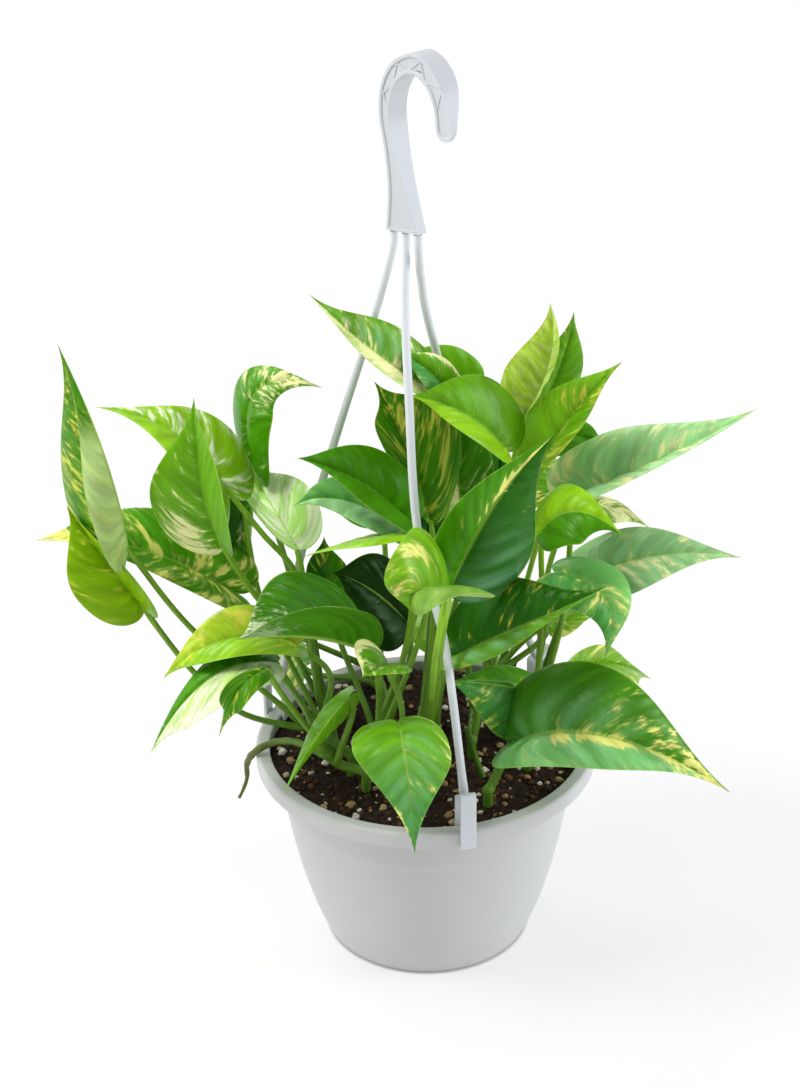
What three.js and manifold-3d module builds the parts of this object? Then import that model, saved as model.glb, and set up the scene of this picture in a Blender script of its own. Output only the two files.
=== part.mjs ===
// A potted pothos in a white hanging pot, with its three-strand hanger and hook.
// Millimetres, +Z up, origin at the middle of the pot's base, front of the plant towards -Y.
import * as THREE from "three";
import { mergeVertices } from "three/addons/utils/BufferGeometryUtils.js";
import Module from "manifold-3d";

const wasm = await Module();
wasm.setup();

// ---- driving dimensions ----
const GAP = 0.3; // between pieces that touch
const RIM_R = 100; // outer edge of the pot's rim: a 200 mm pot
const RIM_TOP = 125;
const RIM_IN_R = 91.6; // inner edge of the rim, and the collar's inside below it
const SKIRT_BOTTOM = 114.8; // lower edge of the band that hangs from the rim
const SKIRT_WALL = 2.2;
const BASE_R = 60.5;
const POT_WALL = 2.4;
const SHOULDER_Z = 108; // where the wall steps out to the collar under the rim
const STEP_Z = 91; // the shallow step round the wall
const STEP_OUT = 0.7;
const SOIL_TOP = 121;
const HOLE_DEPTH = 24; // each stem stands this deep in the soil
const HOOK_FACE = 6; // the hook's flat front lies this far before the middle of its foot
const HOOK_BACK = -7; // and the back of its arch this far behind
const FOOT_THICK = 6;
const TIP_THICK = 2;
const HOOK_TURN = 50; // degrees the hook's face is turned about the vertical
const HOOK_CENTRE = [-4, 0]; // where the hook's plane crosses the pot's axis line
const BORDER = 1.8; // width of the raised border round the hook's sunk front
const SUNK = 1; // depth of that front
const STRAND_R = 2.35;
const CLIP_WIDE = 9;
const BLADE = 0.8; // thickness of a leaf blade
const STEM_R = 2.9;
const PETIOLE_R = 1.7;
const STEM_STEPS = 9; // a leaf springs from the last step of the stem and from each step below it
const ROOT_R = 2.2;

// ---- the view that the leaves are placed by ----
// A point is [px, py, y]: a pixel of the 800 x 1091 photograph and the depth y behind the pot's axis.
const EYE = new THREE.Vector3(-13.1, -1210.7, 878.4);
const PITCH = THREE.MathUtils.degToRad(27.31); // downwards
const ROLL = THREE.MathUtils.degToRad(-0.97);
const FOCAL = 2414; // pixels
const MIDDLE = [400, 545.5];
const AHEAD = new THREE.Vector3(0, Math.cos(PITCH), -Math.sin(PITCH));
const ABOVE = new THREE.Vector3(0, Math.sin(PITCH), Math.cos(PITCH));
const ASIDE = new THREE.Vector3(1, 0, 0);

function sightLine(px, py) {
  const across = px - MIDDLE[0];
  const down = py - MIDDLE[1];
  const u = across * Math.cos(ROLL) + down * Math.sin(ROLL);
  const v = down * Math.cos(ROLL) - across * Math.sin(ROLL);
  return AHEAD.clone().addScaledVector(ASIDE, u / FOCAL).addScaledVector(ABOVE, -v / FOCAL);
}

function at([px, py, depth]) {
  const ray = sightLine(px, py);
  return EYE.clone().addScaledVector(ray, (depth - EYE.y) / ray.y);
}

function onSoil([px, py]) {
  const ray = sightLine(px, py);
  return EYE.clone().addScaledVector(ray, (SOIL_TOP - EYE.z) / ray.z);
}

// ---- the plant ----
// Each leafy stem stands at its foot on the soil and ends at its top. A leaf has the base, middle and
// tip of its midrib, the widest points of its left and right edges (seen from above, tip away), and
// where it matters the places that its petiole passes on the way down.
const STEMS = {
  far_left: {
    foot: [352, 772],
    top: [[300, 722, -8]],
    leaves: {
      tall: {
        base: [126, 552, -10], mid: [103, 456, -16], tip: [57, 343, -20],
        left: [62, 494, 8], right: [92, 510, -38], via: [[190, 627, -6]], broad: 0.22,
      },
      low: {
        base: [143, 608, -6], mid: [104, 558, -2], tip: [66, 505, 2],
        left: [78, 600, -16], right: [138, 584, -20], via: [[190, 668, -14], [240, 712, -20]],
      },
      long: {
        base: [236, 592, 12], mid: [128, 546, 20], tip: [36, 541, 28],
        left: [180, 586, -6], right: [187, 515, 38], via: [[262, 640, 4]],
      },
      hanging: {
        base: [243, 503, 30], mid: [240, 555, 36], tip: [228, 608, 28],
        left: [252, 535, 42], right: [222, 530, 22], via: [[262, 604, 26], [284, 650, 18]],
      },
    },
  },
  left_upper: {
    foot: [334, 752],
    top: [[324, 706, 12]],
    leaves: {
      upright: {
        base: [222, 548, -20], mid: [202, 482, -26], tip: [194, 397, -16],
        left: [152, 507, -16], right: [223, 503, -52], via: [[250, 588, -6], [280, 628, 4]],
      },
      striped: {
        base: [228, 492, 10], mid: [178, 434, 22], tip: [95, 407, 34],
        left: [200, 502, -20], right: [236, 436, 32], via: [[262, 533, 8], [297, 575, 8]],
      },
      curled: {
        base: [254, 470, 26], mid: [256, 392, 22], tip: [323, 388, 12],
        left: [233, 412, 46], right: [269, 436, 6], via: [[285, 558, 24]],
      },
      mint: {
        base: [297, 548, -4], mid: [272, 506, 16], tip: [244, 463, 42],
        left: [247, 502, 26], right: [313, 492, 6],
      },
    },
  },
  left_low: {
    foot: [366, 788],
    top: [[340, 764, -42], [312, 735, -44]],
    leaves: {
      lime: {
        base: [296, 643, -22], mid: [222, 640, -44], tip: [162, 680, -54],
        left: [258, 656, -60], right: [258, 604, -8], via: [[330, 675, -24]],
      },
      white_sided: {
        base: [272, 662, -34], mid: [205, 682, -64], tip: [149, 757, -62],
        left: [232, 700, -86], right: [236, 646, -32], via: [[300, 700, -38]],
      },
      short: {
        base: [268, 668, -72], mid: [238, 690, -96], tip: [219, 738, -92],
        left: [252, 696, -100], right: [226, 686, -96], via: [[286, 700, -60]],
      },
      narrow: {
        base: [350, 696, -58], mid: [316, 738, -84], tip: [284, 793, -106],
        left: [343, 722, -50], right: [328, 702, -46],
      },
    },
  },
  mid_left: {
    foot: [378, 762],
    top: [[376, 722, -12]],
    leaves: {
      dark: {
        base: [410, 520, -16], mid: [352, 478, -20], tip: [297, 458, -30],
        left: [382, 516, -42], right: [388, 456, -4],
      },
      glossy: {
        base: [400, 528, -12], mid: [340, 499, -14], tip: [293, 507, -34],
        left: [372, 532, -34], right: [366, 484, 4],
      },
      edge_on: {
        base: [412, 533, -24], mid: [358, 542, -34], tip: [302, 557, -46],
        left: [386, 543, -50], right: [388, 536, -8],
      },
      barred: {
        base: [332, 610, 34], mid: [326, 572, 38], tip: [324, 536, 38],
        left: [306, 578, 36], right: [350, 577, 42],
      },
      shaded: {
        base: [410, 625, 2], mid: [372, 590, 0], tip: [332, 572, -4],
        left: [362, 640, -18], right: [392, 560, 14],
      },
      arching: {
        base: [372, 650, -30], mid: [305, 636, -62], tip: [236, 640, -86],
        left: [330, 606, -84], right: [300, 573, -42],
      },
    },
  },
  crown_left: {
    foot: [420, 755],
    top: [[424, 706, 14]],
    leaves: {
      top: {
        base: [428, 388, 0], mid: [366, 345, -8], tip: [309, 294, -10],
        left: [394, 381, -16], right: [408, 334, 8], via: [[430, 390, 13], [435, 430, 19], [436, 520, 18]],
      },
      young: {
        base: [452, 396, 8], mid: [428, 370, 0], tip: [400, 352, -4],
        left: [430, 392, -10], right: [450, 362, 8], via: [[451, 394, 17], [449, 430, 18], [446, 520, 17]],
      },
      behind: {
        base: [468, 392, 58], mid: [430, 370, 52], tip: [385, 355, 44],
        left: [436, 388, 46], right: [464, 350, 62], via: [[446, 540, 54]],
      },
      inner: {
        base: [438, 590, 10], mid: [433, 540, 12], tip: [426, 486, 12],
        left: [404, 552, 8], right: [456, 548, 14],
      },
      centre: {
        base: [432, 524, 10], mid: [406, 448, 4], tip: [374, 381, 0],
        left: [380, 440, -6], right: [454, 412, 10], broad: 0.5,
      },
    },
  },
  crown_right: {
    foot: [472, 755],
    top: [[476, 702, 18]],
    leaves: {
      broad: {
        base: [508, 451, -10], mid: [462, 413, -16], tip: [409, 396, -22],
        left: [474, 441, -34], right: [502, 385, 10],
      },
      cream: {
        base: [461, 522, 25], mid: [457, 464, 26], tip: [448, 398, 26],
        left: [428, 474, 24], right: [494, 468, 26], broad: 0.34,
      },
      pale: {
        base: [524, 411, 22], mid: [549, 357, 16], tip: [550, 302, 10],
        left: [552, 375, 38], right: [503, 371, 6], broad: 0.36,
      },
      slim: {
        base: [532, 424, 44], mid: [560, 366, 40], tip: [574, 311, 34],
        left: [526, 386, 36], right: [575, 390, 50],
      },
      pointed: {
        base: [540, 462, 6], mid: [578, 408, 2], tip: [623, 361, -4],
        left: [530, 412, 18], right: [572, 438, -14],
      },
      small: {
        base: [550, 444, 56], mid: [578, 436, 54], tip: [608, 450, 46],
        left: [574, 420, 64], right: [570, 456, 40],
      },
    },
  },
  front: {
    foot: [428, 782],
    top: [[430, 744, -30]],
    leaves: {
      great: {
        base: [450, 592, -60], mid: [492, 508, -62], tip: [557, 432, -52],
        left: [446, 518, -70], right: [532, 556, -46], via: [[443, 634, -77]], broad: 0.34,
      },
      round: {
        base: [448, 594, -81], mid: [418, 590, -116], tip: [412, 613, -107],
        left: [488, 593, -117], right: [417, 528, -87], via: [[436, 652, -90]], broad: 0.31,
      },
      sweeping: {
        base: [450, 657, -46], mid: [528, 624, -66], tip: [606, 587, -78],
        left: [490, 582, -36], right: [492, 656, -78], broad: 0.38,
      },
    },
  },
  right: {
    foot: [528, 768],
    top: [[534, 718, 4]],
    leaves: {
      long: {
        base: [568, 497, 8], mid: [665, 458, 2], tip: [758, 408, -4],
        left: [604, 434, 30], right: [606, 493, -20], via: [[562, 620, 6]], broad: 0.3,
      },
      teal: {
        base: [572, 583, 6], mid: [655, 555, 2], tip: [742, 558, 0],
        left: [606, 533, 30], right: [612, 601, -22], via: [[545, 668, 8]],
      },
      barred: {
        base: [580, 502, 36], mid: [615, 508, 34], tip: [650, 528, 28],
        left: [606, 497, 46], right: [600, 522, 16],
      },
      lit: {
        base: [538, 535, -14], mid: [574, 511, -28], tip: [623, 536, -42],
        left: [551, 490, -2], right: [574, 545, -42], via: [[541, 640, 6]], broad: 0.27,
      },
      drooping: {
        base: [556, 572, -12], mid: [606, 600, -36], tip: [604, 659, -46],
        left: [614, 566, -16], right: [562, 604, -42], via: [[541, 650, 8]],
      },
    },
  },
  front_low: {
    foot: [396, 794],
    top: [[398, 770, -66]],
    leaves: {
      heart: {
        base: [398, 722, -86], mid: [407, 772, -112], tip: [415, 854, -116],
        left: [451, 752, -104], right: [352, 750, -100],
      },
      cream_edged: {
        base: [388, 664, -64], mid: [376, 668, -82], tip: [362, 677, -98],
        left: [410, 672, -86], right: [358, 640, -78], via: [[402, 710, -62]],
      },
    },
  },
  front_right: {
    foot: [488, 804],
    top: [[491, 790, -62]],
    leaves: {
      big: {
        base: [511, 742, -60], mid: [612, 738, -84], tip: [731, 793, -76],
        left: [578, 660, -48], right: [560, 767, -102], via: [[500, 770, -60]],
      },
      spotted: {
        base: [535, 692, -28], mid: [492, 684, -42], tip: [448, 682, -52],
        left: [506, 738, -54], right: [510, 666, -20], via: [[512, 740, -46]],
      },
    },
  },
  back_left: {
    foot: [386, 718],
    top: [[374, 666, 48]],
    leaves: {
      far: {
        base: [190, 566, 60], mid: [185, 538, 100], tip: [178, 540, 148],
        left: [142, 552, 88], right: [230, 548, 84], via: [[262, 618, 48]],
      },
      high: {
        base: [382, 520, 58], mid: [362, 484, 92], tip: [345, 490, 138],
        left: [322, 500, 86], right: [402, 482, 82],
      },
      mid: {
        base: [352, 626, 55], mid: [336, 594, 92], tip: [320, 594, 138],
        left: [302, 612, 80], right: [384, 604, 78],
      },
      low: {
        base: [302, 664, 62], mid: [262, 650, 88], tip: [215, 664, 112],
        left: [270, 680, 56], right: [284, 634, 92],
      },
    },
  },
  back: {
    foot: [438, 714],
    top: [[440, 660, 52]],
    leaves: {
      high: {
        base: [474, 450, 72], mid: [466, 418, 98], tip: [460, 416, 136],
        left: [434, 434, 86], right: [510, 428, 88],
      },
      mid: {
        base: [450, 520, 66], mid: [446, 470, 100], tip: [440, 462, 150],
        left: [402, 488, 92], right: [492, 480, 92],
      },
      low: {
        base: [450, 640, 58], mid: [450, 604, 96], tip: [455, 606, 148],
        left: [405, 622, 82], right: [500, 618, 84],
      },
      filler: {
        base: [498, 540, 64], mid: [500, 484, 66], tip: [500, 430, 72],
        left: [478, 498, 62], right: [516, 500, 62],
      },
    },
  },
  back_right: {
    foot: [492, 712],
    top: [[500, 660, 46]],
    leaves: {
      high: {
        base: [546, 500, 58], mid: [566, 468, 92], tip: [592, 470, 140],
        left: [520, 470, 84], right: [596, 488, 80],
      },
      far: {
        base: [592, 574, 50], mid: [632, 554, 90], tip: [676, 560, 128],
        left: [602, 540, 84], right: [628, 582, 58],
      },
      mid: {
        base: [548, 628, 50], mid: [570, 596, 88], tip: [598, 598, 136],
        left: [536, 596, 84], right: [598, 612, 72],
      },
      low: {
        base: [566, 676, 52], mid: [606, 662, 86], tip: [652, 680, 118],
        left: [594, 646, 80], right: [626, 696, 60],
      },
    },
  },
};
const WIDEST = 0.24; // share of the midrib at which a blade is widest, unless it says otherwise
const BULGE = 0.1; // how far each half of a blade arches up, as a share of its width
const VEINS = 5; // rows of faces along a half blade
const STRIPS = 2; // strips of faces from midrib to edge

// An old root that lies over the rim at the left and hangs down outside it.
const OLD_ROOT = [
  [336, 762, -42], [310, 748, -30], [295, 742, -22], [272, 743, -14], [256, 751, -15], [247, 764, -8],
  [247, 778, -6], [243, 790, -8], [239, 798, -10],
];

// ---- solids ----
function solidOf(geometry) {
  geometry.deleteAttribute("normal");
  geometry.deleteAttribute("uv");
  const merged = mergeVertices(geometry, 1e-4);
  const vertProperties = new Float32Array(merged.attributes.position.array);
  const triVerts = new Uint32Array(merged.index.array);
  return new wasm.Manifold(new wasm.Mesh({ numProp: 3, vertProperties, triVerts }));
}

function geometryOf(solid) {
  const { numProp, vertProperties, triVerts } = solid.getMesh();
  const position = new Float32Array((vertProperties.length / numProp) * 3);
  for (let i = 0; i < position.length / 3; i++) {
    position.set(vertProperties.subarray(i * numProp, i * numProp + 3), i * 3);
  }
  const geometry = new THREE.BufferGeometry();
  geometry.setAttribute("position", new THREE.BufferAttribute(position, 3));
  geometry.setIndex(new THREE.BufferAttribute(new Uint32Array(triVerts), 1));
  geometry.computeVertexNormals();
  return geometry;
}

function joined(solids) {
  return solids.reduce((all, one) => all.add(one));
}

function tube(curve, radius, steps, sides) {
  const section = new THREE.Shape();
  for (let i = 0; i < sides; i++) {
    const a = (2 * Math.PI * i) / sides;
    if (i === 0) section.moveTo(radius, 0);
    else section.lineTo(radius * Math.cos(a), radius * Math.sin(a));
  }
  section.closePath();
  const options = { steps, extrudePath: curve, bevelEnabled: false };
  return solidOf(new THREE.ExtrudeGeometry(section, options));
}

function bezier(points, t) {
  const s = 1 - t;
  const [a, b, c, d] = points;
  const weights = [s * s * s, 3 * s * s * t, 3 * s * t * t, t * t * t];
  return [0, 1].map((k) => a[k] * weights[0] + b[k] * weights[1] + c[k] * weights[2] + d[k] * weights[3]);
}

// Half the outline of a blade: s runs from the notch at the petiole round the lobe to the tip. A blade
// that is broad further along has a smaller lobe.
function halfOutline(s, broad) {
  const further = broad - WIDEST;
  const lobe = [[0, 0], [-0.1, 0.02], [1.4 * further - 0.24, 0.98], [broad, 1]];
  const taper = [[broad, 1], [0.6 * further + 0.54, 1], [0.74, 0.14], [1, 0]];
  return s < 0.5 ? bezier(lobe, s * 2) : bezier(taper, s * 2 - 1);
}

class Leaf {
  constructor({ base, mid, tip, left, right, via = [], broad = WIDEST }) {
    this.base = at(base);
    const middle = at(mid);
    const end = at(tip);
    const pull = middle.clone().multiplyScalar(2).addScaledVector(this.base, -0.5).addScaledVector(end, -0.5);
    this.midrib = new THREE.QuadraticBezierCurve3(this.base, pull, end);
    this.length = this.midrib.getLength();
    this.broad = broad;
    this.across = this.tangent(broad);
    const widest = this.along(broad);
    this.edges = { left: at(left).sub(widest), right: at(right).sub(widest) };
    const span = this.edges.right.clone().sub(this.edges.left);
    this.up = span.cross(this.across).normalize();
    this.via = via.map(at);
  }

  tangent(share) {
    return this.midrib.getTangent(THREE.MathUtils.clamp(share, 0, 1));
  }

  along(share) {
    if (share >= 0) return this.midrib.getPoint(Math.min(share, 1));
    return this.base.clone().addScaledVector(this.tangent(0), share * this.length);
  }

  // A point of the blade's middle surface: vein 0 at the notch to 1 at the tip, out 0 at the midrib.
  point(vein, out, side) {
    const [a, b] = halfOutline(vein, this.broad);
    const share = Math.pow(vein, 1.6) * (1 - out) + a * out;
    const turn = new THREE.Quaternion().setFromUnitVectors(this.across, this.tangent(share));
    const edge = this.edges[side].clone();
    const bulge = BULGE * edge.length() * b * 4 * out * (1 - out);
    return this.along(share)
      .add(edge.applyQuaternion(turn).multiplyScalar(b * out))
      .addScaledVector(this.up.clone().applyQuaternion(turn), bulge);
  }

  blade() {
    const rows = [];
    for (let i = 0; i <= VEINS; i++) {
      const row = [];
      for (let j = -STRIPS; j <= STRIPS; j++) {
        row.push(this.point(i / VEINS, Math.abs(j) / STRIPS, j < 0 ? "left" : "right"));
      }
      rows.push(row);
    }
    return sheet(rows, BLADE);
  }

  petiole(start) {
    const toTip = this.tangent(0);
    const end = this.base.clone().addScaledVector(toTip, 3).addScaledVector(this.up, -0.3);
    if (this.via.length > 0) {
      const places = [start, ...this.via.slice().reverse(), end];
      return tube(new THREE.CatmullRomCurve3(places), PETIOLE_R, 6, 4);
    }
    const reach = start.distanceTo(this.base);
    const aim = this.base.clone().sub(start).setZ(0).normalize();
    const foot = start.clone().addScaledVector(aim, STEM_R * 0.5);
    const rise = foot.clone().addScaledVector(aim, reach * 0.1).add(new THREE.Vector3(0, 0, reach * 0.3));
    const bend = new THREE.Vector3(toTip.x * 0.6, toTip.y * 0.6, toTip.z * 0.6 + 0.6).normalize();
    const under = this.base.clone().addScaledVector(bend, -0.3 * reach);
    return tube(new THREE.CubicBezierCurve3(foot, rise, under, end), PETIOLE_R, 5, 4);
  }
}

// A thin closed solid round a grid of points whose first and last rows have drawn in to one point.
function sheet(rows, thickness) {
  const columns = rows[0].length;
  const last = rows.length - 1;
  const points = [rows[0][0], ...rows.slice(1, last).flat(), rows[last][0]];
  const index = (i, j) => (i === 0 ? 0 : i === last ? points.length - 1 : 1 + (i - 1) * columns + j);
  const faces = [];
  for (let i = 0; i < last; i++) {
    for (let j = 0; j < columns - 1; j++) {
      const [a, b, c, d] = [index(i, j), index(i, j + 1), index(i + 1, j + 1), index(i + 1, j)];
      if (a !== b) faces.push([a, b, c]);
      if (c !== d) faces.push([a, c, d]);
    }
  }
  const normals = points.map(() => new THREE.Vector3());
  for (const face of faces) {
    const [p, q, r] = face.map((k) => points[k]);
    const normal = q.clone().sub(p).cross(r.clone().sub(p));
    for (const k of face) normals[k].add(normal);
  }
  const position = [];
  for (const way of [0.5, -0.5]) {
    points.forEach((p, k) => {
      position.push(...p.clone().addScaledVector(normals[k].normalize(), way * thickness).toArray());
    });
  }
  const n = points.length;
  const indices = faces.flat();
  for (const [a, b, c] of faces) indices.push(n + c, n + b, n + a);
  const rim = [];
  for (let i = 0; i < last; i++) rim.push([index(i + 1, 0), index(i, 0)]);
  for (let i = 0; i < last; i++) rim.push([index(i, columns - 1), index(i + 1, columns - 1)]);
  for (const [a, b] of rim) indices.push(b, a, n + a, b, n + a, n + b);
  const geometry = new THREE.BufferGeometry();
  geometry.setAttribute("position", new THREE.Float32BufferAttribute(position, 3));
  geometry.setIndex(indices);
  return solidOf(geometry);
}

// ---- sub-parts ----
function leafyStem({ foot, top, leaves }) {
  const low = onSoil(foot);
  const tops = top.map(at);
  const upright = [2 - HOLE_DEPTH, -HOLE_DEPTH / 2, 3, 10].map((z) => low.clone().setZ(SOIL_TOP + z));
  const curve = new THREE.CatmullRomCurve3([...upright, ...tops]);
  const solids = [tube(curve, STEM_R, STEM_STEPS, 6)];
  Object.values(leaves).forEach((given, k) => {
    const leaf = new Leaf(given);
    const node = curve.getPointAt(1 - (k * 0.8 + 0.4) / STEM_STEPS);
    solids.push(leaf.petiole(node), leaf.blade());
  });
  return joined(solids);
}

// The pot's wall from its base to its shoulder, moved inwards by a shift.
function potWall(shift, points) {
  const curve = new THREE.CubicBezierCurve(
    new THREE.Vector2(BASE_R, 1.5),
    new THREE.Vector2(72, 25),
    new THREE.Vector2(80.5, 60),
    new THREE.Vector2(86.6, SHOULDER_Z),
  );
  const stepped = (p) => new THREE.Vector2(p.x + (p.y > STEP_Z ? STEP_OUT : 0) - shift, p.y);
  return curve.getPoints(points).map(stepped);
}

function potProfile() {
  const underRim = RIM_TOP - SKIRT_WALL;
  return [
    new THREE.Vector2(0, 0),
    new THREE.Vector2(BASE_R - 1.5, 0),
    ...potWall(0, 6),
    new THREE.Vector2(RIM_IN_R + POT_WALL, SHOULDER_Z + 3.4),
    new THREE.Vector2(RIM_IN_R + POT_WALL, underRim),
    new THREE.Vector2(RIM_R - SKIRT_WALL - 0.6, underRim),
    new THREE.Vector2(RIM_R - SKIRT_WALL - 0.3, SKIRT_BOTTOM),
    new THREE.Vector2(RIM_R - 0.4, SKIRT_BOTTOM),
    new THREE.Vector2(RIM_R, RIM_TOP - 1.6),
    new THREE.Vector2(RIM_R - 1.4, RIM_TOP),
    new THREE.Vector2(RIM_IN_R, RIM_TOP - 0.4),
    new THREE.Vector2(RIM_IN_R, SHOULDER_Z + 4),
    ...potWall(POT_WALL, 6).slice(1).reverse(),
    new THREE.Vector2(BASE_R - POT_WALL + 0.4, POT_WALL),
    new THREE.Vector2(0, POT_WALL),
  ];
}

function pot() {
  return new THREE.LatheGeometry(potProfile(), 32).rotateX(Math.PI / 2);
}

// The soil fills the pot, a little lower at the edge, with a hole for each stem.
function soil() {
  const sides = potWall(POT_WALL + GAP, 6).filter((p) => p.y > POT_WALL + 4);
  const profile = [
    new THREE.Vector2(0, POT_WALL + GAP),
    new THREE.Vector2(BASE_R - 4, POT_WALL + GAP),
    ...sides,
    new THREE.Vector2(RIM_IN_R - GAP, SHOULDER_Z + 4.6),
    new THREE.Vector2(RIM_IN_R - GAP, SOIL_TOP - 2),
    new THREE.Vector2(RIM_IN_R - 12, SOIL_TOP),
    new THREE.Vector2(0, SOIL_TOP),
  ];
  let solid = solidOf(new THREE.LatheGeometry(profile, 32).rotateX(Math.PI / 2));
  for (const { foot } of Object.values(STEMS)) {
    const low = onSoil(foot);
    const hole = new THREE.CylinderGeometry(STEM_R + GAP + 0.2, STEM_R + GAP + 0.2, HOLE_DEPTH + 10, 8);
    hole.rotateX(Math.PI / 2).translate(low.x, low.y, SOIL_TOP - HOLE_DEPTH / 2 + 5 - GAP);
    solid = solid.subtract(solidOf(hole));
  }
  return geometryOf(solid);
}

// The hook's outline in its own plane, u across and w up: up the outside from the left end of its
// foot, over the arch, round the tip, and back down the inside. With an inset it lies that far inside.
const HOOK_FOOT = [[-14.2, 438.8], [12.1, 442.4]];
const HOOK_OUTSIDE = [
  HOOK_FOOT[0], [-12.2, 461], [-14.2, 481], [-18.3, 500], [-17, 516], [-9.5, 529.2], [1.5, 536.6],
  [11, 538.8], [21, 535], [30.5, 525.8], [36.5, 514], [39.5, 504.3],
];
const HOOK_TIP = { u: 33, w: 504.3, radius: 6.5 };
const HOOK_THROAT = [9, 528]; // the top of the throat, where the tip's side begins
const TIP_LOW = 480; // the hook's tip ends above this height, and its foot below it
const HOOK_INSIDE = [
  [26.5, 504.3], [25, 514], [19.5, 523.2], HOOK_THROAT, [-1.5, 524], [-8.6, 514.5], [-10.9, 503],
  [-8.6, 490.5], [-2.5, 474.6], [6.6, 456], HOOK_FOOT[1],
];

function hookLine(inset) {
  const { u, w, radius } = HOOK_TIP;
  const through = (places) => new THREE.SplineCurve(places.map(([x, y]) => new THREE.Vector2(x, y)));
  const round = new THREE.EllipseCurve(u, w, radius, radius, 0, -Math.PI, true).getPoints(6).slice(1, -1);
  const line = [...through(HOOK_OUTSIDE).getPoints(27), ...round, ...through(HOOK_INSIDE).getPoints(24)];
  return line.map((here, i) => {
    const before = line[(i + line.length - 1) % line.length];
    const after = line[(i + 1) % line.length];
    const coming = here.clone().sub(before).normalize();
    const going = after.clone().sub(here).normalize();
    const along = coming.clone().add(going).normalize();
    const reach = inset / Math.max(along.dot(going), 0.7);
    return new THREE.Vector2(here.x + along.y * reach, here.y - along.x * reach);
  });
}

// The hook is thickest at its arch and thins towards its foot and its tip.
function hookThickness(u, w) {
  const onTip = u > HOOK_THROAT[0] && w > TIP_LOW;
  const thinnest = onTip ? TIP_THICK : FOOT_THICK;
  const rise = THREE.MathUtils.smoothstep(w, onTip ? 496 : 444, onTip ? 534 : 504);
  return THREE.MathUtils.lerp(thinnest, HOOK_FACE - HOOK_BACK, rise);
}

function hookPlate(line, low, high) {
  const options = { depth: high - low, bevelEnabled: false };
  const plate = new THREE.ExtrudeGeometry(new THREE.Shape(line), options).translate(0, 0, low);
  const place = plate.attributes.position;
  for (let i = 0; i < place.count; i++) {
    if (place.getZ(i) < 0) place.setZ(i, HOOK_FACE - hookThickness(place.getX(i), place.getY(i)));
  }
  return solidOf(plate);
}

// The front is sunk inside a border, with thin ribs that zigzag round the arch between two ellipses.
const RIBS = { count: 8, wide: 1, start: 1.02 * Math.PI, turn: -0.113 * Math.PI, below: 0.2 };
const RIB_RINGS = [{ u: 8.2, w: 504.4, across: 20, up: 24.6 }, { u: 10.5, w: 504, across: 26.8, up: 32.4 }];

function ribCorner(k) {
  const { u, w, across, up } = RIB_RINGS[k % 2];
  const angle = RIBS.start + RIBS.turn * k;
  return new THREE.Vector2(u + across * Math.cos(angle), w + up * Math.sin(angle));
}

function hook() {
  let solid = hookPlate(hookLine(0), HOOK_BACK, HOOK_FACE);
  solid = solid.subtract(hookPlate(hookLine(BORDER), HOOK_FACE - SUNK, HOOK_FACE + 1));
  for (let k = 0; k < RIBS.count; k++) {
    const from = ribCorner(k);
    const to = ribCorner(k + 1);
    const middle = from.clone().add(to).multiplyScalar(0.5);
    const rib = new THREE.BoxGeometry(from.distanceTo(to) + RIBS.wide, RIBS.wide, SUNK);
    rib.rotateZ(to.clone().sub(from).angle());
    solid = solid.add(solidOf(rib.translate(middle.x, middle.y, HOOK_FACE - SUNK / 2 - RIBS.below)));
  }
  const geometry = geometryOf(solid);
  geometry.rotateX(Math.PI / 2).rotateZ(-THREE.MathUtils.degToRad(HOOK_TURN));
  return geometry.translate(HOOK_CENTRE[0], HOOK_CENTRE[1], 0);
}

// A strand runs from under the hook, by the places where the photograph shows it, to a clip that
// hangs over the rim. Azimuth 0 is the front, -Y; the offset is along the hook's own plane.
const STRANDS = {
  front: {
    azimuth: 12.5,
    offset: -1.3,
    places: [[405, 300, -10], [409, 400, -30], [418, 533, -46], [445, 645, -64], [452.8, 700, -75]],
  },
  left: {
    azimuth: -112,
    offset: -11,
    places: [[376, 310, 8], [357, 370, 12], [335, 440, 18], [300, 560, 26], [287.5, 645, 30]],
  },
  right: {
    azimuth: 132,
    offset: 8.5,
    places: [[424, 300, 8], [438, 358, 28], [472, 480, 50], [505, 590, 58]],
  },
};
// A clip in section, as distances from the pot's axis and heights above the rim: up the outside of
// its outer leg, over, down its inner leg, and back.
const CLIP = [
  [100.4, -10.2], [102.6, -10.2], [102.6, 22], [101.5, 24.4], [99.7, 25], [90, 18.6], [88.6, 16.6],
  [88.6, -4.2], [90.6, -4.2], [90.7, 15.4], [100.3, 21.4],
];
const CLIP_ENTRY = [92.5, 19]; // where the strand runs into the clip

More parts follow.
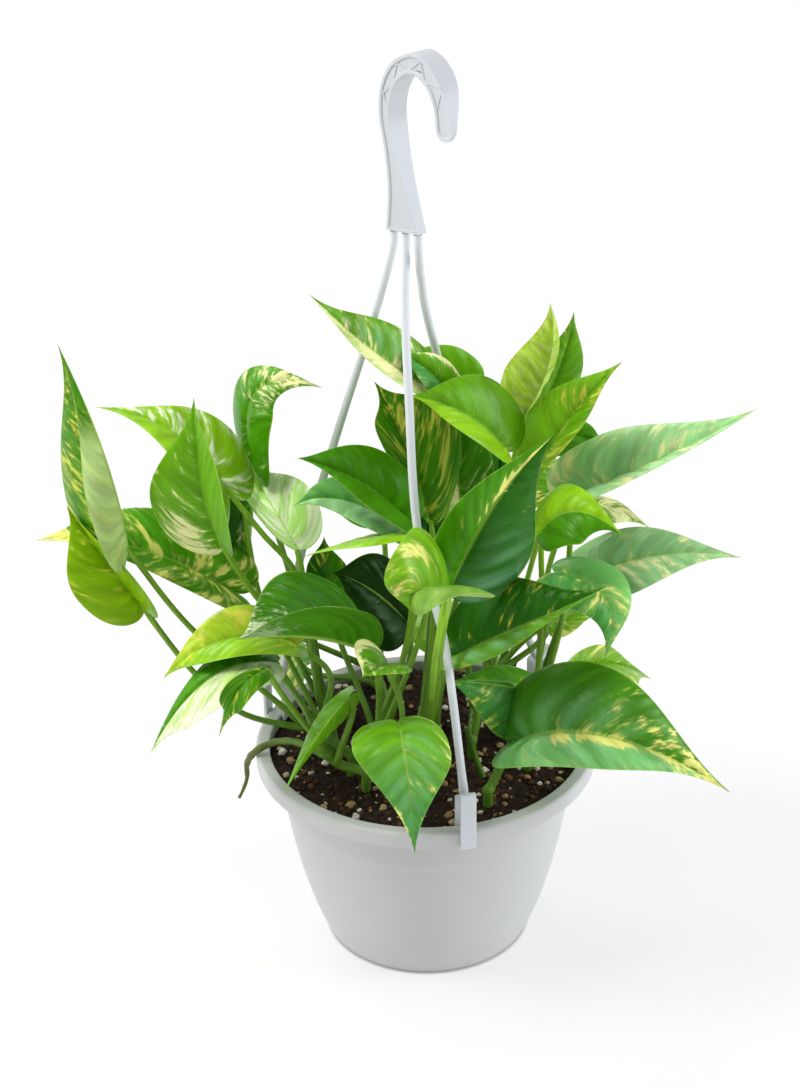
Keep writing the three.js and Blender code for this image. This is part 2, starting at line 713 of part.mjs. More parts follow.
function clipAndStrand({ azimuth, offset, places }) {
  const turn = THREE.MathUtils.degToRad(azimuth);
  const out = new THREE.Vector3(Math.sin(turn), -Math.cos(turn), 0);
  const hookTurn = THREE.MathUtils.degToRad(HOOK_TURN);
  const [footLeft, footRight] = HOOK_FOOT;
  const share = (offset - footLeft[0]) / (footRight[0] - footLeft[0]);
  const depth = HOOK_FACE / 2;
  const topEnd = new THREE.Vector3(
    HOOK_CENTRE[0] + offset * Math.cos(hookTurn) - depth * Math.sin(hookTurn),
    HOOK_CENTRE[1] - offset * Math.sin(hookTurn) - depth * Math.cos(hookTurn),
    THREE.MathUtils.lerp(footLeft[1], footRight[1], share) - GAP - STRAND_R * 0.2,
  );
  const entry = out.clone().multiplyScalar(CLIP_ENTRY[0]).setZ(RIM_TOP + CLIP_ENTRY[1]);
  const last = at(places[places.length - 1]).sub(entry).setLength(9).add(entry);
  const curve = new THREE.CatmullRomCurve3([
    topEnd,
    topEnd.clone().add(new THREE.Vector3(0, 0, -5)),
    ...places.map(at),
    last,
    entry,
  ]);
  const section = new THREE.Shape(CLIP.map(([r, z]) => new THREE.Vector2(r, RIM_TOP + z)));
  const clip = new THREE.ExtrudeGeometry(section, { depth: CLIP_WIDE, bevelEnabled: false });
  clip.translate(0, 0, -CLIP_WIDE / 2).rotateX(Math.PI / 2).rotateZ(turn - Math.PI / 2);
  return geometryOf(tube(curve, STRAND_R, 16, 6).add(solidOf(clip)));
}

function oldRoot() {
  return tube(new THREE.CatmullRomCurve3(OLD_ROOT.map(at)), ROOT_R, 12, 6);
}

// ---- the assembly ----
const white = { roughness: 0.45, metalness: 0 };
const materials = {
  pot: new THREE.MeshStandardMaterial({ color: 0xc9cad0, ...white }),
  hanger: new THREE.MeshStandardMaterial({ color: 0xd9dbe0, ...white }),
  soil: new THREE.MeshStandardMaterial({ color: 0x2a1b14, roughness: 0.95 }),
  leaf: new THREE.MeshStandardMaterial({ color: 0x5e9c2f, roughness: 0.4 }),
};

const plant = new THREE.Group();
function piece(name, geometry, material) {
  const mesh = new THREE.Mesh(geometry, material);
  mesh.name = name;
  plant.add(mesh);
}

piece("pot", pot(), materials.pot);
piece("soil", soil(), materials.soil);
piece("hanger_hook", hook(), materials.hanger);
for (const [name, strand] of Object.entries(STRANDS)) {
  piece("strand_" + name, clipAndStrand(strand), materials.hanger);
}
for (const [name, stem] of Object.entries(STEMS)) {
  const solid = leafyStem(stem);
  piece("leaves_" + name, geometryOf(name === "left_low" ? solid.add(oldRoot()) : solid), materials.leaf);
}

export default plant;
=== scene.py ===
"""A potted pothos in a white hanging pot, made after one photograph.

The pieces stand for the plain solids of the frame, in the same places, and their lengths are in millimetres
until a mesh is built. After them come the floor, the light and the view of the photograph.
"""
import math
import random

import bpy
import numpy as np
from mathutils import Matrix, Vector, geometry, noise


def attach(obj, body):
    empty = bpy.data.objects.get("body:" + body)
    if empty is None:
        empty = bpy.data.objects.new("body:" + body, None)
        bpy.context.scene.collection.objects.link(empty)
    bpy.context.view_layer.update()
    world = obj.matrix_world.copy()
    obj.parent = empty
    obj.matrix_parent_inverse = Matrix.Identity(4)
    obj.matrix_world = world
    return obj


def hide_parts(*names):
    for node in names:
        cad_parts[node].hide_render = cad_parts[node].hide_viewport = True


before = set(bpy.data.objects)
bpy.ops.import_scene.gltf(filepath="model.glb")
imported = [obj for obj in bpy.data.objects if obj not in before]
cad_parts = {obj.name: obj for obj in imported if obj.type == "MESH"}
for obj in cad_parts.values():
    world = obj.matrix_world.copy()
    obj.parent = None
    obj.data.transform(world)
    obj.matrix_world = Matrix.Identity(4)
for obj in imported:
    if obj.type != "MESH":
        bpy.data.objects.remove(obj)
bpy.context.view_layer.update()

MM = 0.001

# ---- driving dimensions, in millimetres, the same as the solids' ----
RIM_R = 100
RIM_TOP = 125
RIM_IN_R = 91.6
SKIRT_BOTTOM = 114.8
SKIRT_WALL = 2.2
BASE_R = 60.5
POT_WALL = 2.4
SHOULDER_Z = 108
STEP_Z = 91
STEP_OUT = 0.7
SOIL_TOP = 121
HOLE_DEPTH = 24
HOOK_FACE = 6  # how far the hook's front lies before its middle plane
HOOK_BACK = -7  # and its back, at the arch
FOOT_THICK = 6
TIP_THICK = 2
HOOK_TURN = math.radians(50)
HOOK_CENTRE = (-4, 0)
BORDER = 1.8  # width of the raised border round the hook's front
SUNK = 0.8  # how far the front lies below its border
FLOOR_SLANT = 0.6  # how much further in the border's inner wall stands at its foot
STRAND_R = 2.35
CLIP_WIDE = 9
GAP = 0.3  # between pieces that touch
STEM_R = 2.9
PETIOLE_R = 1.7
STEM_STEPS = 9  # a leafy stem's leaves leave it 0.8 of a step apart
ROOT_R = 2.2

# ---- the view: a place is (px, py, y), a pixel of the 800 x 1091 photograph and a depth ----
EYE = np.array([-13.1, -1210.7, 878.4])
PITCH = math.radians(27.31)
ROLL = math.radians(-0.97)
FOCAL = 2414  # in pixels
FRAME_WIDE = 800
FRAME_TALL = 1091
SENSOR = 36  # the camera's height in millimetres
AHEAD = np.array([0, math.cos(PITCH), -math.sin(PITCH)])
ABOVE = np.array([0, math.sin(PITCH), math.cos(PITCH)])
ASIDE = np.array([1.0, 0, 0])

# ---- small geometry ----
def sight_line(px, py):
    across = px - FRAME_WIDE / 2
    down = py - FRAME_TALL / 2
    u = across * math.cos(ROLL) + down * math.sin(ROLL)
    v = down * math.cos(ROLL) - across * math.sin(ROLL)
    return AHEAD + ASIDE * u / FOCAL - ABOVE * v / FOCAL


def at(place):
    """The point at a pixel and a depth."""
    px, py, depth = place
    ray = sight_line(px, py)
    return EYE + ray * (depth - EYE[1]) / ray[1]


def on_soil(foot):
    """The point of the soil's top at a pixel."""
    ray = sight_line(*foot)
    return EYE + ray * (SOIL_TOP - EYE[2]) / ray[2]


def unit(v):
    v = np.asarray(v, float)
    return v / np.maximum(np.linalg.norm(v, axis=-1, keepdims=True), 1e-9)


def smooth(x, low, high):
    """0 below low, 1 above high, and a soft step between them; with low above high, the other way round."""
    t = np.clip((np.asarray(x, float) - low) / (high - low), 0, 1)
    return t * t * (3 - 2 * t)


def bezier(points, t):
    points = np.asarray(points, float)
    t = np.asarray(t, float)[..., None]
    s = 1 - t
    if len(points) == 3:
        return s * s * points[0] + 2 * s * t * points[1] + t * t * points[2]
    return s**3 * points[0] + 3 * s * s * t * points[1] + 3 * s * t * t * points[2] + t**3 * points[3]


def through(points, steps):
    """A smooth centripetal curve through the points, at even lengths."""
    p = [np.asarray(q, float) for q in points]
    p = [2 * p[0] - p[1]] + p + [2 * p[-1] - p[-2]]
    fine = []
    for a, b, c, d in zip(p, p[1:], p[2:], p[3:]):
        ab, bc, cd = (max(np.linalg.norm(r - q), 1e-6) ** 0.5 for q, r in ((a, b), (b, c), (c, d)))
        start = ((b - a) / ab - (c - a) / (ab + bc) + (c - b) / bc) * bc
        end = ((c - b) / bc - (d - b) / (bc + cd) + (d - c) / cd) * bc
        t = np.linspace(0, 1, 25)[:-1, None]
        square, cube = 3 * (c - b) - 2 * start - end, 2 * (b - c) + start + end
        fine.append(b + start * t + square * t**2 + cube * t**3)
    fine = np.vstack(fine + [p[-2][None]])
    return evenly(fine, steps)


def walk(line):
    """How far along a line of points each of them is."""
    return np.concatenate([[0], np.cumsum(np.linalg.norm(np.diff(line, axis=0), axis=1))])


def evenly(line, steps):
    """The line cut into steps of even length."""
    walked = walk(line)
    wanted = np.linspace(0, walked[-1], steps + 1)
    return np.stack([np.interp(wanted, walked, values) for values in line.T], axis=1)


def along_line(line, share):
    walked = walk(line)
    return np.array([np.interp(share * walked[-1], walked, values) for values in line.T])


def ring(radius, count):
    a = np.linspace(0, 2 * math.pi, count, endpoint=False)
    return [(radius * math.cos(t), radius * math.sin(t)) for t in a]


def ring_faces(rings, count):
    """The faces between rings of points, one ring after another."""
    faces = []
    for here in range(0, (rings - 1) * count, count):
        there = here + count
        for j in range(count):
            k = (j + 1) % count
            faces.append((here + j, here + k, there + k, there + j))
    return faces


def capped_faces(rings, count):
    """The faces between rings that follow one point and end at one point."""
    faces = [tuple(1 + k for k in face) for face in ring_faces(rings, count)]
    end = 1 + rings * count
    for j in range(count):
        k = (j + 1) % count
        faces += [(0, 1 + k, 1 + j), (end, end - count + j, end - count + k)]
    return faces


def filled(outline):
    """Triangles that fill a plane outline, all anticlockwise."""
    triangles = []
    for face in geometry.tessellate_polygon([[Vector((x, y, 0)) for x, y in outline]]):
        a, b, c = (outline[k] for k in face)
        clockwise = (b[0] - a[0]) * (c[1] - a[1]) < (b[1] - a[1]) * (c[0] - a[0])
        triangles.append(tuple(face)[::-1] if clockwise else tuple(face))
    return triangles


class Solid:
    """Points and faces gathered for one mesh, with a colour and a grain place for each point."""

    def __init__(self):
        self.points, self.faces, self.slots = [], [], []
        self.layers = {}
        self.count = 0

    def add(self, points, faces, slots=None, **layers):
        for name, values in layers.items():
            self.layers.setdefault(name, []).append(np.reshape(values, (len(points), -1)))
        self.points.append(np.asarray(points, float))
        self.faces += [tuple(k + self.count for k in face) for face in faces]
        self.slots += slots or [0] * len(faces)
        self.count += len(points)

    def build(self, name, materials, flat_angle=40):
        mesh = bpy.data.meshes.new(name)
        mesh.from_pydata((np.vstack(self.points) * MM).tolist(), [], self.faces)
        mesh.polygons.foreach_set("material_index", self.slots)
        mesh.polygons.foreach_set("use_smooth", [True] * len(self.faces))
        for layer, values in self.layers.items():
            values = np.vstack(values)
            if values.shape[1] == 1:
                mesh.attributes.new(layer, "FLOAT", "POINT").data.foreach_set("value", values.ravel())
            elif layer == "grain":
                mesh.attributes.new(layer, "FLOAT_VECTOR", "POINT").data.foreach_set("vector", values.ravel())
            else:
                full = np.ones((len(values), 4))
                full[:, :3] = values[:, :3]
                mesh.attributes.new(layer, "FLOAT_COLOR", "POINT").data.foreach_set("color", full.ravel())
        mesh.validate()
        mesh.update()
        mesh.set_sharp_from_angle(angle=math.radians(flat_angle))
        for material in materials:
            mesh.materials.append(material)
        made = bpy.data.objects.new(name, mesh)
        bpy.context.scene.collection.objects.link(made)
        return made


def tube(solid, line, radii, sides, flat=1.0, **layers):
    """A closed tube along a line of points, with a radius at each; flat squashes it one way."""
    tangent = unit(np.gradient(line, axis=0))
    side = unit(np.cross(tangent[0], [0.3, 0.9, 0.2]))
    a = np.linspace(0, 2 * math.pi, sides, endpoint=False)[:, None]
    rings = []
    for p, t, r in zip(line, tangent, radii):
        side = unit(side - t * np.dot(side, t))
        rings.append(p + r * (np.cos(a) * side + np.sin(a) * np.cross(t, side) * flat))
    spread = {name: np.vstack([v[:1], np.repeat(v, sides, axis=0), v[-1:]]) for name, v in layers.items()}
    faces = [face[::-1] for face in capped_faces(len(line), sides)]
    solid.add(np.vstack([line[:1], *rings, line[-1:]]), faces, **spread)


def stand_in(piece, node=None):
    """Hands a piece to the frame. With a node, it is seen in place of that node's solid."""
    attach(piece, "root")
    if node:
        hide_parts(node)


# ---- colours ----
def colour(r, g, b):
    """A colour as a screen names it, in the shares of light that a material takes."""
    shown = (r / 255, g / 255, b / 255)
    return tuple(c / 12.92 if c <= 0.04045 else ((c + 0.055) / 1.055) ** 2.4 for c in shown)


GREENS = {
    # painted shade: a near-black green for a leaf that lies in deep shade inside the plant
    "painted_shade": colour(16, 48, 4),
    "deep": colour(34, 98, 8),
    "dark": colour(68, 136, 6),
    "mid": colour(96, 156, 14),
    "fresh": colour(118, 176, 26),
    "bright": colour(138, 192, 26),
    "lime": colour(170, 206, 44),
    "olive": colour(124, 170, 8),
    "teal": colour(70, 144, 60),
    "sea": colour(112, 180, 92),
    "pale": colour(186, 216, 122),
    "mint": colour(176, 222, 120),
    "milk": colour(216, 240, 160),
    "sage": colour(118, 160, 60),
    # painted highlight: a pale green that stands in for the gloss on leaf halves that face the light
    "painted_glint": colour(158, 212, 140),
}
# A painted reflection: the pale sky colour that glossy patches of a leaf are painted towards.
PAINTED_SKY = colour(150, 208, 164)  # how the sky looks in a glossy leaf
CREAMS = {
    "cream": colour(236, 234, 168),
    "yellow": colour(214, 214, 80),
    "butter": colour(230, 226, 124),
    "white": colour(232, 240, 206),
}

# What a leaf's look is where nothing else is said of it.
PLAIN = {
    "left": "mid", "right": "mid", "under": "sage", "cream": "butter", "streaks": (0.25, 0.25), "ripple": 1.0,
    "patches": (), "sheen": (),
}

# ---- leaves ----
WIDEST = 0.24  # the share of the midrib at which a blade is widest, unless it says otherwise
BULGE = 0.1  # how far each half of a blade swells, over its width
RIPPLE = 0.36  # how far it swells between two side veins
MIDRIB = 1.1  # how far the midrib stands out below
VEIN_ROWS = 44
HALF_COLUMNS = 11
BLADE_HALF = 0.3  # half the thickness of a blade
SWEEP = 0.75  # how far the side veins and streaks lean towards the tip
SIDE_VEINS = 9


def half_outline(vein, broad):
    """Half a blade's outline, from the notch round the lobe to the tip."""
    further = broad - WIDEST
    vein = np.asarray(vein, float)
    lobe = [[0, 0], [-0.1, 0.02], [1.4 * further - 0.24, 0.98], [broad, 1]]
    taper = [[broad, 1], [0.6 * further + 0.54, 1], [0.74, 0.14], [1, 0]]
    back, front = bezier(lobe, np.clip(vein * 2, 0, 1)), bezier(taper, np.clip(vein * 2 - 1, 0, 1))
    return np.where((vein < 0.5)[..., None], back, front)


def turned(v, start, ends):
    """v carried by the least turn from direction start to each of the directions ends."""
    axis = np.cross(start, ends)
    sine = np.linalg.norm(axis, axis=-1, keepdims=True)
    cosine = (ends @ start)[..., None]
    axis = axis / np.maximum(sine, 1e-9)
    inline = axis * (axis @ v)[..., None]
    return v * cosine + np.cross(axis, v) * sine + inline * (1 - cosine)


class Leaf:
    """A leaf placed in the photograph, and its look.

    Its places are the start, the middle and the tip of the midrib, and the widest points of the left and
    right edges, seen from above with the tip away. Its stalk passes the places of via, from the blade down,
    and broad is the share of the midrib at which the blade is widest. The look names the greens of both
    halves, of the underside and, where they differ, of the tip and the base, and the cream of the streaks.
    It also says how much of each half the streaks take, how far the blade ripples, and where patches of
    streaks and of sheen are, the sheen being a painted reflection of the sky: (vein, out, reach along, reach
    across, strength), with out negative on the left.
    """

    def __init__(self, start, middle, end, left_edge, right_edge, via=(), broad=WIDEST, **look):
        self.base, middle, end = at(start), at(middle), at(end)
        self.ctrl = np.array([self.base, 2 * middle - (self.base + end) / 2, end])
        self.length = np.linalg.norm(np.diff(bezier(self.ctrl, np.linspace(0, 1, 40)), axis=0), axis=1).sum()
        self.broad = broad
        widest = self.along(np.array([broad]))[0]
        self.across = self.tangent(np.array([broad]))[0]
        self.edges = {-1: at(left_edge) - widest, 1: at(right_edge) - widest}
        self.up = unit(np.cross(self.edges[1] - self.edges[-1], self.across))
        self.via = [at(place) for place in via]
        self.look = {**PLAIN, **look}

    def tangent(self, share):
        t = np.clip(share, 0, 1)[..., None]
        return unit((1 - t) * (self.ctrl[1] - self.ctrl[0]) + t * (self.ctrl[2] - self.ctrl[1]))

    def along(self, share):
        """Points of the midrib, which runs on straight behind its start."""
        share = np.asarray(share, float)
        on = bezier(self.ctrl, np.clip(share, 0, 1))
        back = np.minimum(share, 0)[..., None] * self.length
        return on + back * self.tangent(np.zeros_like(share))

    def surface(self, vein, out, side, wave, ripple, seed):
        """Points of the blade's middle surface: vein and out are grids of the same shape."""
        outline = half_outline(vein, self.broad)
        share = vein**1.6 * (1 - out) + outline[..., 0] * out
        half = outline[..., 1]
        tangent = self.tangent(share)
        edge = turned(self.edges[side], self.across, tangent)
        up = turned(self.up, self.across, tangent)
        reach = np.linalg.norm(self.edges[side])
        lift = BULGE * reach * half * 4 * out * (1 - out)
        waves = np.sin(2 * math.pi * (1.6 * vein + seed + 0.31 * side))
        lift += wave * waves * out**2 * np.sin(math.pi * vein)
        lean = vein - SWEEP * out * half * reach / self.length
        veins = np.cos(2 * math.pi * SIDE_VEINS * lean) * smooth(out, 0.03, 0.3) * smooth(1 - out, 0, 0.25)
        lift += ripple * veins * np.sin(math.pi * vein) ** 0.5 * half
        lift -= 0.7 * np.exp(-((out * reach * half / 1.3) ** 2)) * smooth(1 - vein, 0, 0.3)
        return self.along(share) + edge * (half * out)[..., None] + up * lift[..., None]


def pinched(grid):
    """A grid's values with its first and its last row drawn in to one point each."""
    grid = grid.reshape(*grid.shape[:2], -1)
    return np.vstack([grid[0, :1], grid[1:-1].reshape(-1, grid.shape[2]), grid[-1, :1]])


def pinched_index(i, j, rows, columns):
    if i == 0:
        return 0
    return 1 + (rows - 2) * columns if i == rows - 1 else 1 + (i - 1) * columns + j


def pinched_faces(rows, columns):
    faces = []
    for i in range(rows - 1):
        for j in range(columns - 1):
            corners = [(i, j), (i, j + 1), (i + 1, j + 1), (i + 1, j)]
            face = [pinched_index(r, c, rows, columns) for r, c in corners]
            faces.append(tuple(dict.fromkeys(face)))
    return faces


def blade(solid, leaf, rng):
    """A closed blade: a grid for its upper side, one for its underside, and a rim between them."""
    size = min(leaf.length / 100, 1.2)
    seed = rng.random()
    wave = rng.uniform(0.8, 1.8) * size
    ripple = RIPPLE * leaf.look["ripple"] * size
    vein = np.linspace(0, 1, VEIN_ROWS + 1)[:, None] * np.ones((1, 2 * HALF_COLUMNS + 1))
    signed = np.linspace(-1, 1, 2 * HALF_COLUMNS + 1)[None] * np.ones((VEIN_ROWS + 1, 1))
    signed = np.sign(signed) * np.abs(signed) ** 1.15
    out = np.abs(signed)
    sides = [leaf.surface(vein, out, side, wave, ripple, seed) for side in (-1, 1)]
    middle = np.where((signed < 0)[..., None], sides[0], sides[1])
    down = np.gradient(middle, axis=0)
    across = np.gradient(middle, axis=1)
    normal = np.cross(across, down)
    normal[0], normal[-1] = normal[1], normal[-2]
    normal = unit(normal)
    if np.mean(normal @ leaf.up) < 0:
        normal = -normal
    thick = BLADE_HALF * (1 - 0.75 * smooth(out, 0.9, 1)) * (1 - 0.6 * smooth(vein, 0.9, 1))
    ridge = MIDRIB * np.exp(-((out * 14) ** 2)) * smooth(1 - vein, 0.05, 0.9)
    upper = middle + normal * thick[..., None]
    lower = middle - normal * (thick + ridge)[..., None]
    rows, columns = vein.shape
    count = (rows - 2) * columns + 2
    upside = np.cross(across, down)[rows // 3, columns // 4] @ leaf.up > 0
    top = [f if upside else f[::-1] for f in pinched_faces(rows, columns)]
    bottom = [tuple(k + count for k in f[::-1]) for f in top]
    rim = []
    for i in range(rows - 1):
        for j in (0, columns - 1):
            a, b = pinched_index(i, j, rows, columns), pinched_index(i + 1, j, rows, columns)
            quad = (a, b, b + count, a + count)
            rim.append(quad if (j == 0) == upside else quad[::-1])
    layers = painted(leaf, vein, signed, rng)
    both = {name: np.vstack([pinched(v)] * 2) for name, v in layers.items()}
    slots = [0] * len(top) + [1] * len(bottom) + [0] * len(rim)
    solid.add(np.vstack([pinched(upper), pinched(lower)]), top + bottom + rim, slots, **both)


def towards(tone, aim, share):
    return tone + (np.array(aim) - tone) * share[..., None]


def nearness(vein, signed, patch):
    """How strong a patch is at each point of a blade's grid."""
    where, out, reach_along, reach_across, strength = patch
    return strength * np.exp(-(((vein - where) / reach_along) ** 2) - ((signed - out) / reach_across) ** 2)


def painted(leaf, vein, signed, rng):
    """The colours and the streaks of a blade, at each point of its grid."""
    look = leaf.look
    left, right = (np.array(GREENS[look[side]]) for side in ("left", "right"))
    share = smooth(signed, -0.04, 0.04)[..., None]
    tone = left * (1 - share) + right * share
    under = np.array(GREENS[look["under"]]) * np.ones(vein.shape + (1,))
    cream = np.array(CREAMS[look["cream"]]) * np.ones(vein.shape + (1,))
    if "tip" in look:
        tone = towards(tone, GREENS[look["tip"]], smooth(vein, 0.45, 0.95))
        under = towards(under, GREENS[look["tip"]], smooth(vein, 0.64, 0.8))
    if "base" in look:
        tone = towards(tone, GREENS[look["base"]], smooth(-vein, -0.45, 0))
    tone = tone * rng.uniform(0.92, 1.08)
    streak = np.where(signed < 0, *look["streaks"])
    for patch in look["patches"]:
        streak = streak + nearness(vein, signed, patch)
    width = np.where(signed < 0, *(np.linalg.norm(leaf.edges[side]) for side in (-1, 1)))
    swept = vein * leaf.length - SWEEP * np.abs(signed) * width * half_outline(vein, leaf.broad)[..., 1]
    # Painted reflection: each patch of sheen draws the tone towards the sky's colour, in bands between the
    # side veins.
    quilt = 0.55 + 0.45 * np.cos(2 * math.pi * SIDE_VEINS * swept / leaf.length)
    for patch in look["sheen"]:
        tone = towards(tone, PAINTED_SKY, nearness(vein, signed, patch) * quilt)
    grain = np.stack([signed * width / 10, swept / 10, np.full(vein.shape, rng.uniform(0, 90))], axis=-1)
    out = np.abs(signed)
    return {"tone": tone, "under": under, "cream": cream, "streak": streak, "grain": grain, "out": out}


